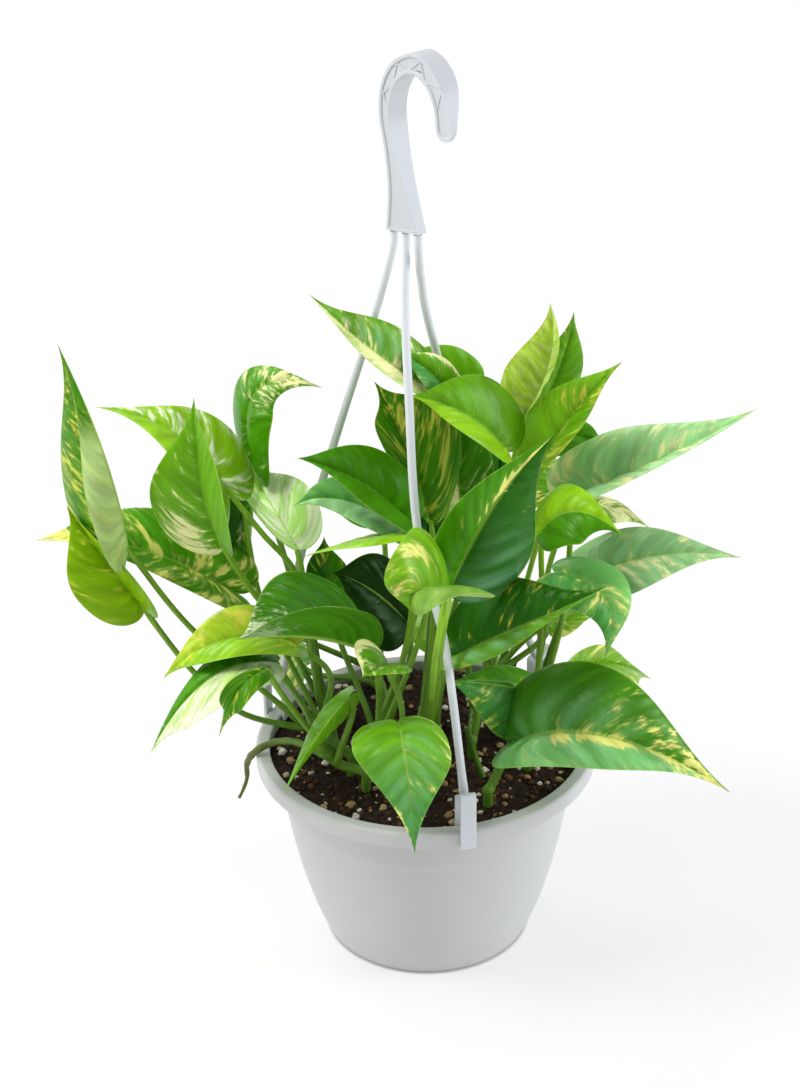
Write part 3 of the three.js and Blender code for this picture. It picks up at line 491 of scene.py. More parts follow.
# ---- the plant: for each leafy stem its foot on the soil, the places up to its top, and its leaves ----
STEMS = {
    "far_left": ((352, 772), [(300, 722, -8)], {
        "tall": Leaf((126, 552, -10), (103, 456, -16), (57, 343, -20), (62, 494, 8), (92, 510, -38),
            via=[(190, 627, -6)], broad=0.22, left="dark", right="dark", tip="dark", under="milk",
            cream="yellow", streaks=(0.42, 0.4)),
        "low": Leaf((143, 608, -6), (104, 558, -2), (66, 505, 2), (78, 600, -16), (138, 584, -20),
            via=[(190, 668, -14), (240, 712, -20)], left="olive", right="olive", under="olive",
            cream="yellow", streaks=(0.28, 0.15)),
        "long": Leaf((236, 592, 12), (128, 546, 20), (36, 541, 28), (180, 586, -6), (187, 515, 38),
            via=[(262, 640, 4)], left="dark", right="dark", streaks=(0.36, 0.42),
            patches=[(0.95, 0, 0.12, 1.5, 0.5)]),
        "hanging": Leaf((243, 503, 30), (240, 555, 36), (228, 608, 28), (252, 535, 42), (222, 530, 22),
            via=[(262, 604, 26), (284, 650, 18)], left="dark", right="deep", streaks=(0.25, 0.15)),
    }),
    "left_upper": ((334, 752), [(324, 706, 12)], {
        "upright": Leaf((222, 548, -20), (202, 482, -26), (194, 397, -16), (152, 507, -16), (223, 503, -52),
            via=[(250, 588, -6), (280, 628, 4)], cream="cream", streaks=(0.2, 0.0),
            patches=[(0.2, -0.85, 0.22, 0.4, 0.75), (0.35, -0.4, 0.14, 0.25, 0.4)]),
        "striped": Leaf((228, 492, 10), (178, 434, 22), (95, 407, 34), (200, 502, -20), (236, 436, 32),
            via=[(262, 533, 8), (297, 575, 8)], left="bright", right="bright", under="bright",
            cream="white", streaks=(0.05, 0.45)),
        "curled": Leaf((254, 470, 26), (256, 392, 22), (323, 388, 12), (233, 412, 46), (269, 436, 6),
            via=[(285, 558, 24)], left="dark", right="dark", under="mid", cream="cream", streaks=(0.2, 0.2),
            patches=[(0.88, 0, 0.2, 1.5, 0.5)]),
        "mint": Leaf((297, 548, -4), (272, 506, 16), (244, 463, 42), (247, 502, 26), (313, 492, 6),
            left="mint", right="mint", under="pale", cream="white", streaks=(0.5, 0.55), ripple=2.0),
    }),
    "left_low": ((366, 788), [(340, 764, -42), (312, 735, -44)], {
        "lime": Leaf((296, 643, -22), (222, 640, -44), (162, 680, -54), (258, 656, -60), (258, 604, -8),
            via=[(330, 675, -24)], left="bright", right="lime", under="dark", cream="yellow",
            streaks=(0.3, 0.4)),
        "white_sided": Leaf((272, 662, -34), (205, 682, -64), (149, 757, -62), (232, 700, -86),
            (236, 646, -32), via=[(300, 700, -38)], left="pale", right="dark", under="mid", cream="white",
            streaks=(0.55, 0.1), patches=[(0.6, -1.0, 0.5, 0.2, 0.3)]),
        "short": Leaf((268, 668, -72), (238, 690, -96), (219, 738, -92), (252, 696, -100), (226, 686, -96),
            via=[(286, 700, -60)], left="dark", right="dark", cream="yellow", streaks=(0.3, 0.2)),
        "narrow": Leaf((350, 696, -58), (316, 738, -84), (284, 793, -106), (343, 722, -50), (328, 702, -46),
            under="mid", streaks=(0.1, 0.1)),
    }),
    "mid_left": ((378, 762), [(376, 722, -12)], {
        "dark": Leaf((410, 520, -16), (352, 478, -20), (297, 458, -30), (382, 516, -42), (388, 456, -4),
            left="dark", right="dark", under="mid", streaks=(0.0, 0.0)),
        "glossy": Leaf((400, 528, -12), (340, 499, -14), (293, 507, -34), (372, 532, -34), (366, 484, 4),
            left="painted_glint", right="sea", cream="white", streaks=(0.25, 0.0), ripple=2.4,
            sheen=[(0.4, -0.5, 0.3, 0.4, 0.9), (0.4, 0.5, 0.25, 0.35, 0.6)]),
        "edge_on": Leaf((412, 533, -24), (358, 542, -34), (302, 557, -46), (386, 543, -50), (388, 536, -8),
            left="bright", right="bright", under="bright", streaks=(0.2, 0.2)),
        "barred": Leaf((332, 610, 34), (326, 572, 38), (324, 536, 38), (306, 578, 36), (350, 577, 42),
            left="deep", right="dark", cream="yellow", streaks=(0.3, 0.3)),
        # This leaf is painted near-black: painted shade, for the shade it lies in.
        "shaded": Leaf((410, 625, 2), (372, 590, 0), (332, 572, -4), (362, 640, -18), (392, 560, 14),
            left="painted_shade", right="painted_shade", under="deep", streaks=(0.0, 0.05)),
        "arching": Leaf((372, 650, -30), (305, 636, -62), (236, 640, -86), (330, 606, -84), (300, 573, -42),
            right="dark", under="dark", cream="white", streaks=(0.1, 0.1),
            patches=[(0.9, 0, 0.18, 1.5, 0.7)], sheen=[(0.75, -0.4, 0.2, 0.4, 0.4)]),
    }),
    "crown_left": ((420, 755), [(424, 706, 14)], {
        "top": Leaf((428, 388, 0), (366, 345, -8), (309, 294, -10), (394, 381, -16), (408, 334, 8),
            via=[(430, 390, 13), (435, 430, 19), (436, 520, 18)], left="pale", cream="cream",
            streaks=(0.5, 0.35), patches=[(0.6, -0.3, 0.5, 0.35, 0.5)], sheen=[(0.6, 0.3, 0.3, 0.3, 0.4)]),
        "young": Leaf((452, 396, 8), (428, 370, 0), (400, 352, -4), (430, 392, -10), (450, 362, 8),
            via=[(451, 394, 17), (449, 430, 18), (446, 520, 17)], left="teal", cream="cream",
            streaks=(0.15, 0.2), patches=[(0.4, 1.0, 0.5, 0.2, 0.8)]),
        "behind": Leaf((468, 392, 58), (430, 370, 52), (385, 355, 44), (436, 388, 46), (464, 350, 62),
            via=[(446, 540, 54)], left="dark", streaks=(0.05, 0.1)),
        "inner": Leaf((438, 590, 10), (433, 540, 12), (426, 486, 12), (404, 552, 8), (456, 548, 14),
            left="deep", right="deep", streaks=(0.2, 0.2)),
        "centre": Leaf((432, 524, 10), (406, 448, 4), (374, 381, 0), (380, 440, -6), (454, 412, 10),
            broad=0.5, left="dark", right="dark", cream="yellow", streaks=(0.4, 0.38),
            patches=[(0.7, 0.55, 0.2, 0.3, 0.2)]),
    }),
    "crown_right": ((472, 755), [(476, 702, 18)], {
        "broad": Leaf((508, 451, -10), (462, 413, -16), (409, 396, -22), (474, 441, -34), (502, 385, 10),
            left="bright", streaks=(0.15, 0.16), patches=[(0.12, -0.5, 0.12, 0.8, 0.5)]),
        "cream": Leaf((461, 522, 25), (457, 464, 26), (448, 398, 26), (428, 474, 24), (494, 468, 26),
            broad=0.34, right="dark", cream="cream", streaks=(0.3, 0.2),
            patches=[(0.5, -0.3, 0.4, 0.3, 0.75)]),
        "pale": Leaf((524, 411, 22), (549, 357, 16), (550, 302, 10), (552, 375, 38), (503, 371, 6),
            broad=0.36, left="pale", right="lime", base="lime", under="lime", cream="cream",
            streaks=(0.6, 0.5)),
        "slim": Leaf((532, 424, 44), (560, 366, 40), (574, 311, 34), (526, 386, 36), (575, 390, 50),
            under="mid", streaks=(0.1, 0.0)),
        "pointed": Leaf((540, 462, 6), (578, 408, 2), (623, 361, -4), (530, 412, 18), (572, 438, -14),
            left="fresh", cream="yellow", streaks=(0.3, 0.42)),
        "small": Leaf((550, 444, 56), (578, 436, 54), (608, 450, 46), (574, 420, 64), (570, 456, 40),
            left="dark", right="dark", streaks=(0.05, 0.05)),
    }),
    "front": ((428, 782), [(430, 744, -30)], {
        "great": Leaf((450, 592, -60), (492, 508, -62), (557, 432, -52), (446, 518, -70), (532, 556, -46),
            via=[(443, 634, -77)], broad=0.34, left="dark", right="deep", streaks=(0.06, 0.0), ripple=1.8,
            patches=[(0.84, -0.25, 0.2, 0.3, 0.7), (0.72, -0.15, 0.16, 0.14, 0.5)],
            sheen=[(0.28, 0.72, 0.16, 0.3, 0.75), (0.5, 0.5, 0.1, 0.3, 0.2)]),
        "round": Leaf((448, 594, -81), (418, 590, -116), (412, 613, -107), (488, 593, -117),
            (417, 528, -87), via=[(436, 652, -90)], broad=0.31, left="sage", right="fresh", under="pale",
            streaks=(0.0, 0.2), patches=[(0.6, 0.55, 0.22, 0.35, 0.35)]),
        "sweeping": Leaf((450, 657, -46), (528, 624, -66), (606, 587, -78), (490, 582, -36),
            (492, 656, -78), broad=0.38, left="deep", cream="yellow", streaks=(0.2, 0.2), ripple=1.6,
            sheen=[(0.5, 0.6, 0.25, 0.3, 0.55)]),
    }),
    "right": ((528, 768), [(534, 718, 4)], {
        "long": Leaf((568, 497, 8), (665, 458, 2), (758, 408, -4), (604, 434, 30), (606, 493, -20),
            via=[(562, 620, 6)], broad=0.3, left="painted_glint", right="painted_glint", cream="cream", streaks=(0.38, 0.4),
            ripple=2.0, patches=[(0.2, -1.0, 0.2, 0.25, 0.5)],
            sheen=[(0.4, 0.6, 0.35, 0.4, 0.5), (0.5, -0.4, 0.3, 0.4, 0.35)]),
        "teal": Leaf((572, 583, 6), (655, 555, 2), (742, 558, 0), (606, 533, 30), (612, 601, -22),
            via=[(545, 668, 8)], left="painted_glint", right="painted_glint", cream="cream", streaks=(0.3, 0.4), ripple=2.0,
            sheen=[(0.4, 0.4, 0.35, 0.5, 0.6), (0.4, -0.4, 0.3, 0.5, 0.5)]),
        "barred": Leaf((580, 502, 36), (615, 508, 34), (650, 528, 28), (606, 497, 46), (600, 522, 16),
            left="sage", right="sage", cream="cream", streaks=(0.5, 0.5)),
        # Painted light and shade: its far (left) half is painted bright where light falls on it, its near
        # half dark where it hangs in shadow.
        "lit": Leaf((538, 535, -14), (574, 511, -28), (623, 536, -42), (551, 490, -2), (574, 545, -42),
            via=[(541, 640, 6)], broad=0.27, left="bright", right="dark", under="mid", cream="yellow",
            streaks=(0.0, 0.0)),
        "drooping": Leaf((556, 572, -12), (606, 600, -36), (604, 659, -46), (614, 566, -16),
            (562, 604, -42), via=[(541, 650, 8)], left="sea", right="teal", streaks=(0.3, 0.35),
            ripple=1.4),
    }),
    "front_low": ((396, 794), [(398, 770, -66)], {
        "heart": Leaf((398, 722, -86), (407, 772, -112), (415, 854, -116), (451, 752, -104),
            (352, 750, -100), tip="teal", streaks=(0.2, 0.0),
            patches=[(0.9, 0.9, 0.12, 0.4, 0.6), (0.3, -0.9, 0.3, 0.2, 0.2)],
            sheen=[(0.6, -0.4, 0.3, 0.4, 0.3), (0.75, 0.3, 0.2, 0.4, 0.3)]),
        "cream_edged": Leaf((388, 664, -64), (376, 668, -82), (362, 677, -98), (410, 672, -86),
            (358, 640, -78), via=[(402, 710, -62)], cream="cream", streaks=(0.3, 0.35),
            patches=[(0.5, 1.0, 0.6, 0.3, 0.7)]),
    }),
    "front_right": ((488, 804), [(491, 790, -62)], {
        "big": Leaf((511, 742, -60), (612, 738, -84), (731, 793, -76), (578, 660, -48), (560, 767, -102),
            via=[(500, 770, -60)], left="dark", right="sea", base="deep", streaks=(0.06, 0.25), ripple=2.0,
            patches=[(0.62, 0.12, 0.3, 0.22, 0.5), (0.95, 0, 0.12, 1.5, 0.6), (0.75, -0.4, 0.12, 0.3, 0.5)],
            sheen=[(0.45, 0.5, 0.35, 0.5, 0.4), (0.5, -0.3, 0.25, 0.3, 0.3)]),
        "spotted": Leaf((535, 692, -28), (492, 684, -42), (448, 682, -52), (506, 738, -54), (510, 666, -20),
            via=[(512, 740, -46)], left="teal", right="dark", cream="yellow", streaks=(0.3, 0.2)),
    }),
    "back_left": ((386, 718), [(374, 666, 48)], {
        "far": Leaf((190, 566, 60), (185, 538, 100), (178, 540, 148), (142, 552, 88), (230, 548, 84),
            via=[(262, 618, 48)], streaks=(0.4, 0.35)),
        "high": Leaf((382, 520, 58), (362, 484, 92), (345, 490, 138), (322, 500, 86), (402, 482, 82),
            left="dark", streaks=(0.3, 0.3)),
        "mid": Leaf((352, 626, 55), (336, 594, 92), (320, 594, 138), (302, 612, 80), (384, 604, 78),
            left="fresh", right="fresh"),
        "low": Leaf((302, 664, 62), (262, 650, 88), (215, 664, 112), (270, 680, 56), (284, 634, 92),
            left="teal", right="teal", streaks=(0.4, 0.4)),
    }),
    "back": ((438, 714), [(440, 660, 52)], {
        "high": Leaf((474, 450, 72), (466, 418, 98), (460, 416, 136), (434, 434, 86), (510, 428, 88),
            left="dark", right="dark"),
        "mid": Leaf((450, 520, 66), (446, 470, 100), (440, 462, 150), (402, 488, 92), (492, 480, 92),
            streaks=(0.4, 0.4)),
        "low": Leaf((450, 640, 58), (450, 604, 96), (455, 606, 148), (405, 622, 82), (500, 618, 84),
            left="fresh"),
        "filler": Leaf((498, 540, 64), (500, 484, 66), (500, 430, 72), (478, 498, 62), (516, 500, 62),
            left="deep", right="deep", streaks=(0.2, 0.2)),
    }),
    "back_right": ((492, 712), [(500, 660, 46)], {
        "high": Leaf((546, 500, 58), (566, 468, 92), (592, 470, 140), (520, 470, 84), (596, 488, 80),
            left="dark", streaks=(0.4, 0.3)),
        "far": Leaf((592, 574, 50), (632, 554, 90), (676, 560, 128), (602, 540, 84), (628, 582, 58),
            left="teal", right="teal"),
        "mid": Leaf((548, 628, 50), (570, 596, 88), (598, 598, 136), (536, 596, 84), (598, 612, 72),
            streaks=(0.3, 0.45)),
        "low": Leaf((566, 676, 52), (606, 662, 86), (652, 680, 118), (594, 646, 80), (626, 696, 60),
            left="fresh", right="fresh", streaks=(0.35, 0.3)),
    }),
}

# ---- stems and leaf stalks ----
STALK_STEPS = 22
STALK_SIDES = 9
STEM_PIECES = 72
STEM_SIDES = 12
STALK_GREEN = np.array(colour(134, 180, 42))
# painted shade: the darker green that the stalks take low in the plant
STALK_SHADED = np.array(colour(84, 126, 22))
STEM_GREEN = np.array(colour(88, 130, 30))
ROOT_BROWN = np.array(colour(92, 96, 38))
# An old root that lies over the rim at the left and hangs down outside it, and the stem that it grew from.
ROOTED = "left_low"
OLD_ROOT = [
    (336, 762, -42), (310, 748, -30), (295, 742, -22), (272, 743, -14), (256, 751, -15), (247, 764, -8),
    (247, 778, -6), (243, 790, -8), (239, 798, -10),
]


def shades(first, last, share):
    return first * (1 - share[:, None]) + last * share[:, None]


def even_grain(values):
    return np.stack([values] * 3, axis=1)


def stalk(solid, leaf, start, rng):
    """A leaf stalk: a wide sheath where it leaves the stem, and a slight swelling under the blade."""
    to_tip = leaf.tangent(np.array([0.0]))[0]
    end = leaf.base + to_tip * 3 - leaf.up * 0.5
    if leaf.via:
        line = through([start, *leaf.via[::-1], end], STALK_STEPS)
    else:
        reach = np.linalg.norm(leaf.base - start)
        aim = unit((leaf.base - start) * [1, 1, 0])
        foot = start + aim * STEM_R * 0.5
        rise = foot + aim * reach * 0.1 + np.array([0, 0, reach * 0.3])
        bend = unit(to_tip * 0.6 + np.array([0, 0, 0.6]))
        bow = bezier([foot, rise, leaf.base - bend * 0.3 * reach, end], np.linspace(0, 1, 60))
        line = evenly(bow, STALK_STEPS)
    long = np.linalg.norm(np.diff(line, axis=0), axis=1).sum()
    walked = np.linspace(0, long, STALK_STEPS + 1)
    sheath, swelling = np.exp(-walked / 14), np.exp(-(((long - 8 - walked) / 5) ** 2))
    radii = PETIOLE_R * (1.0 + 0.5 * sheath + 0.16 * swelling)
    radii[-1] *= 0.55
    radii[-2] *= 0.8
    warm = rng.uniform(-0.12, 0.12)
    # Painted shade: each stalk is darker low down, in the plant's shade, and lighter higher up.
    tone = shades(STALK_SHADED, STALK_GREEN, np.clip(smooth(line[:, 2], 125, 270) + warm, 0, 1))
    tube(solid, line, radii, STALK_SIDES, tone=tone, grain=even_grain(walked / 10))


def old_root(solid):
    line = through([at(place) for place in OLD_ROOT], 60)
    along = np.linspace(0, 1, len(line))
    radii = ROOT_R * (1 - 0.55 * smooth(along, 0.6, 1)) * (1 + 0.08 * np.sin(along * 70))
    tone = shades(STEM_GREEN, ROOT_BROWN, smooth(along, 0.2, 0.7))
    tube(solid, line, radii, 10, tone=tone, grain=even_grain(along * 14))


def leafy_stem(name, foot, top, leaves):
    """A stem with a slight node where each leaf leaves it: one piece of blades and one of stalks."""
    rng = random.Random("stem " + name)
    blades, stalks = Solid(), Solid()
    low = on_soil(foot)
    upright = [low * [1, 1, 0] + [0, 0, SOIL_TOP + z] for z in (2 - HOLE_DEPTH, -HOLE_DEPTH / 2, 3, 10)]
    line = through([*upright, *[at(place) for place in top]], STEM_PIECES)
    walked = np.linspace(0, 1, len(line))
    radii = np.full(len(line), STEM_R)
    for k, leaf in enumerate(leaves.values()):
        share = 1 - (k * 0.8 + 0.4) / STEM_STEPS
        radii += 0.5 * np.exp(-(((walked - share) / 0.02) ** 2))
        stalk(stalks, leaf, along_line(line, share), rng)
        blade(blades, leaf, rng)
    radii[-1] *= 0.5
    radii[-2] *= 0.85
    # Painted shade: the stem is darker low down, in the plant's shade, and lighter higher up.
    tone = shades(STEM_GREEN, STALK_GREEN, smooth(line[:, 2], 140, 280))
    tube(stalks, line, radii, STEM_SIDES, tone=tone, grain=even_grain(walked * 6))
    if name == ROOTED:
        old_root(stalks)
    stand_in(blades.build("blades_" + name, [leaf_top, leaf_under]), "leaves_" + name)
    stand_in(stalks.build("stalks_" + name, [stalk_skin]), "leaves_" + name)


# ---- pot and soil ----
POT_SEGMENTS = 160
POT_CORNER = 1.3
CORNER_STEPS = 4
SOIL_EDGE = RIM_IN_R - GAP - 0.3
SOIL_RINGS = 90
SOIL_SEGMENTS = 220


def pot_wall(shift, steps):
    """The wall's profile from the base up, with its shallow step, shifted inwards."""
    points = bezier([(BASE_R, 1.5), (72, 25), (80.5, 60), (86.6, SHOULDER_Z)], np.linspace(0, 1, steps))
    step = STEP_OUT * smooth(points[:, 1], STEP_Z - 0.6, STEP_Z + 0.6)
    return [(r + s - shift, z) for (r, z), s in zip(points, step)]


def rounded(profile, size):
    """A profile with each of its corners rounded by the size, where its neighbours leave room."""
    out = [profile[0]]
    for before, here, after in zip(profile, profile[1:], profile[2:]):
        before, here, after = (np.array(p, float) for p in (before, here, after))
        a, b = before - here, after - here
        la, lb = np.linalg.norm(a), np.linalg.norm(b)
        nearly_straight = np.dot(a, b) / (la * lb) < -0.96
        if nearly_straight:
            out.append(tuple(here))
            continue
        cut = min(size, la * 0.45, lb * 0.45)
        p, q = here + a / la * cut, here + b / lb * cut
        out += [tuple(point) for point in bezier([p, here, q], np.linspace(0, 1, CORNER_STEPS + 1))]
    return out + [profile[-1]]


def make_pot():
    """The pot turned about its axis: under its base, up its wall, over its rim and down inside."""
    under_rim = RIM_TOP - SKIRT_WALL
    collar = RIM_IN_R + POT_WALL
    profile = [
        (0, 0.8), (BASE_R - 9, 0.8), (BASE_R - 7.5, 0), (BASE_R - 1.5, 0), *pot_wall(0, 60),
        (collar, SHOULDER_Z + 3.4), (collar, under_rim), (RIM_R - SKIRT_WALL - 0.6, under_rim),
        (RIM_R - SKIRT_WALL - 0.3, SKIRT_BOTTOM), (RIM_R - 0.4, SKIRT_BOTTOM), (RIM_R, RIM_TOP - 1.6),
        (RIM_R - 1.4, RIM_TOP), (RIM_IN_R, RIM_TOP - 0.4), (RIM_IN_R, SHOULDER_Z + 4),
        *pot_wall(POT_WALL, 40)[:0:-1], (BASE_R - POT_WALL + 0.4, POT_WALL), (0, POT_WALL),
    ]
    inner = rounded(profile, POT_CORNER)[1:-1]
    points = [(0, 0, profile[0][1])]
    points += [(x, y, z) for r, z in inner for x, y in ring(r, POT_SEGMENTS)]
    points.append((0, 0, profile[-1][1]))
    solid = Solid()
    solid.add(points, capped_faces(len(inner), POT_SEGMENTS))
    stand_in(solid.build("pot_shell", [pot_plastic], flat_angle=50), "pot")


def soil_height(x, y):
    """How high the soil stands at a place: heaped at the back, with lumps of three sizes."""
    r = math.hypot(x, y)
    lump = noise.noise(Vector((x / 17, y / 17, 3.1))) * 1.6
    lump += noise.noise(Vector((x / 6, y / 6, 8.3))) * 1.5
    lump += noise.noise(Vector((x / 2.4, y / 2.4, 1.7))) * 1.0
    heap = 13 * float(smooth(y, -20, 45)) * float(smooth(r, SOIL_EDGE, 62))
    lump *= float(smooth(r, SOIL_EDGE + 1, 80))
    return SOIL_TOP - 1.2 + heap + lump - 1.6 * float(smooth(r, 76, SOIL_EDGE))


# Small things that stand on the soil: dry leaf sheaths, a cut stem and a stub, each through its places.
TRIM = [
    ([(298, 722, 26), (305, 714, 30), (314, 709, 31), (324, 714, 28)], 2.0, colour(176, 160, 120), 0.35),
    ([(306, 744, 4), (310, 734, 8), (318, 727, 12)], 1.6, colour(196, 186, 150), 0.4),
    ([(506, 686, 52), (509, 674, 52), (515, 662, 50)], 2.6, colour(52, 38, 24), 1.0),
    ([(483, 777, -35), (478, 764, -34), (471, 744, -34), (466, 727, -36)], 1.9, colour(72, 112, 24), 1.0),
]


def make_trim():
    solid = Solid()
    for places, radius, tone, flat in TRIM:
        line = through([at(place) for place in places], 16)
        radii = radius * (1 - 0.35 * np.linspace(0, 1, len(line)))
        tube(solid, line, radii, 9, flat=flat, tone=np.tile(tone, (len(line), 1)), grain=np.zeros_like(line))
    stand_in(solid.build("soil_trim", [stalk_skin], flat_angle=60))


def make_soil():
    """The soil: a flat underside, sides that follow the pot's wall, and a rough top."""
    floor_z = POT_WALL + GAP
    side = [(r - 0.4, z) for r, z in pot_wall(floor_z, 24) if POT_WALL + 4 < z < SHOULDER_Z - 2]
    rings = [(BASE_R - 4, floor_z), *side, (SOIL_EDGE, SHOULDER_Z + 5)]
    points = [(0, 0, floor_z)]
    points += [(x, y, z) for r, z in rings for x, y in ring(r, SOIL_SEGMENTS)]
    for r in SOIL_EDGE * np.linspace(0, 1, SOIL_RINGS + 1)[:0:-1]:
        points += [(x, y, soil_height(x, y)) for x, y in ring(r, SOIL_SEGMENTS)]
    points.append((0, 0, soil_height(0, 0)))
    solid = Solid()
    solid.add(points, capped_faces(len(rings) + SOIL_RINGS, SOIL_SEGMENTS))
    stand_in(solid.build("soil_bed", [soil_earth], flat_angle=80), "soil")


# The corners and faces of a twenty-sided grain, which is cut finer and pushed out of shape for each one.
GOLDEN = (1 + 5**0.5) / 2
GRAIN_POINTS = unit([
    (-1, GOLDEN, 0), (1, GOLDEN, 0), (-1, -GOLDEN, 0), (1, -GOLDEN, 0), (0, -1, GOLDEN), (0, 1, GOLDEN),
    (0, -1, -GOLDEN), (0, 1, -GOLDEN), (GOLDEN, 0, -1), (GOLDEN, 0, 1), (-GOLDEN, 0, -1), (-GOLDEN, 0, 1),
])
GRAIN_FACES = [
    (0, 11, 5), (0, 5, 1), (0, 1, 7), (0, 7, 10), (0, 10, 11), (1, 5, 9), (5, 11, 4), (11, 10, 2), (10, 7, 6),
    (7, 1, 8), (3, 9, 4), (3, 4, 2), (3, 2, 6), (3, 6, 8), (3, 8, 9), (4, 9, 5), (2, 4, 11), (6, 2, 10),
    (8, 6, 7), (9, 8, 1),
]
GRAIN_TONES = [colour(226, 216, 190), colour(204, 178, 132), colour(176, 142, 94), colour(236, 232, 220)]
CRUMB_TONES = [colour(44, 28, 18), colour(70, 44, 26), colour(96, 64, 38), colour(30, 20, 14)]


def finer_grain(points, faces):
    """The grain with each of its faces cut into four."""
    points = [np.array(p) for p in points]
    between = {}
    out = []
    for face in faces:
        mids = []
        for a, b in zip(face, face[1:] + face[:1]):
            key = (min(a, b), max(a, b))
            if key not in between:
                between[key] = len(points)
                points.append(unit(points[a] + points[b]))
            mids.append(between[key])
        a, b, c = face
        ab, bc, ca = mids
        out += [(a, ab, ca), (b, bc, ab), (c, ca, bc), (ab, bc, ca)]
    return np.array(points), out


def scatter(name, count, sizes, tones, material, seed, sink):
    """Grains strewn over the soil, each its own lumpy shape, sunk a little into it."""
    rng = random.Random(seed)
    solid = Solid()
    shape, faces = finer_grain(GRAIN_POINTS, GRAIN_FACES)
    for _ in range(count):
        r = (SOIL_EDGE - 3) * math.sqrt(rng.random())
        a = rng.uniform(0, 2 * math.pi)
        x, y = r * math.cos(a), r * math.sin(a)
        size = sizes[0] + (sizes[1] - sizes[0]) * rng.random() ** 2.2
        push = Vector([rng.uniform(0, 50) for _ in range(3)])
        lumps = [
            1 + 0.45 * noise.noise(Vector(p) * 1.3 + push) + 0.2 * noise.noise(Vector(p) * 3 + push)
            for p in shape
        ]
        points = shape * np.array(lumps)[:, None] * size * [1, rng.uniform(0.6, 1), rng.uniform(0.5, 0.9)]
        turn = Matrix.Rotation(rng.uniform(0, 6.3), 3, "Z") @ Matrix.Rotation(rng.uniform(-0.6, 0.6), 3, "X")
        points = points @ np.array(turn).T + [x, y, soil_height(x, y) + size * sink]
        tone = np.array(rng.choice(tones)) * rng.uniform(0.8, 1.1)
        solid.add(points, faces, tone=np.tile(tone, (len(points), 1)))
    stand_in(solid.build(name, [material], flat_angle=50))


# ---- hanger ----
def spline(points, steps):
    """A plane curve through points, with its ends held."""
    p = [np.array(q, float) for q in (points[0], *points, points[-1])]
    out = []
    for a, b, c, d in zip(p, p[1:], p[2:], p[3:]):
        t = np.linspace(0, 1, steps + 1)[:-1, None]
        v0, v1 = (c - a) / 2, (d - b) / 2
        out.append((2 * b - 2 * c + v0 + v1) * t**3 + (3 * c - 3 * b - 2 * v0 - v1) * t**2 + v0 * t + b)
    return np.vstack(out)


# The hook's outline in its own plane, u across and w up: up the outside from the left end of its foot,
# over the arch, round the tip, and back down the inside.
HOOK_FOOT = [(-14.2, 438.8), (12.1, 442.4)]
HOOK_OUTSIDE = [
    HOOK_FOOT[0], (-12.2, 461), (-14.2, 481), (-18.3, 500), (-17, 516), (-9.5, 529.2), (1.5, 536.6),
    (11, 538.8), (21, 535), (30.5, 525.8), (36.5, 514), (39.5, 504.3),
]
HOOK_TIP = (33, 504.3, 6.5)  # centre and radius
TIP_STEPS = 18
HOOK_THROAT = (9, 528)
TIP_LOW = 480  # the hook's tip lies right of its throat and above this height
HOOK_INSIDE = [
    (26.5, 504.3), (25, 514), (19.5, 523.2), HOOK_THROAT, (-1.5, 524), (-8.6, 514.5), (-10.9, 503),
    (-8.6, 490.5), (-2.5, 474.6), (6.6, 456), HOOK_FOOT[1],
]
# The ribs zigzag across the arch between two ovals: centre, half width and half height of each.
RIBS = 8
RIB_WIDE = 1.3
RIB_RINGS = [(8.2, 504.4, 20, 24.6), (10.5, 504, 26.8, 32.4)]


def hook_line(inset):
    """The hook's outline; with an inset, that far inside it."""
    u, w, radius = HOOK_TIP
    t = np.linspace(0, -math.pi, TIP_STEPS)[1:-1]
    tip = np.stack([u + radius * np.cos(t), w + radius * np.sin(t)], axis=1)
    outside, inside = ([spline(side, 6), side[-1]] for side in (HOOK_OUTSIDE, HOOK_INSIDE))
    line = np.vstack([*outside, tip, *inside])
    coming = unit(line - np.roll(line, 1, axis=0))
    going = unit(np.roll(line, -1, axis=0) - line)
    along = unit(coming + going)
    reach = inset / np.maximum(np.sum(along * going, axis=1), 0.7)
    return line + np.stack([along[:, 1], -along[:, 0]], axis=1) * reach[:, None]


def hook_back(u, w):
    """How far the hook's back lies behind its plane: most at the arch, least at its foot and tip."""
    on_tip = u > HOOK_THROAT[0] and w > TIP_LOW
    thin = TIP_THICK if on_tip else FOOT_THICK
    rise = float(smooth(w, 496 if on_tip else 444, 534 if on_tip else 504))
    return thin + (HOOK_FACE - HOOK_BACK - thin) * rise - HOOK_FACE


def hook_point(u, w, depth):
    """A place of the hook's plane, in the plant's frame; the depth is towards its front."""
    c, s = math.cos(HOOK_TURN), math.sin(HOOK_TURN)
    return (HOOK_CENTRE[0] + u * c - depth * s, HOOK_CENTRE[1] - u * s - depth * c, w)


def rib_corner(k):
    u, w, across, up = RIB_RINGS[k % 2]
    a = math.pi * (1.02 - 0.113 * k)
    return np.array([u + across * math.cos(a), w + up * math.sin(a)])


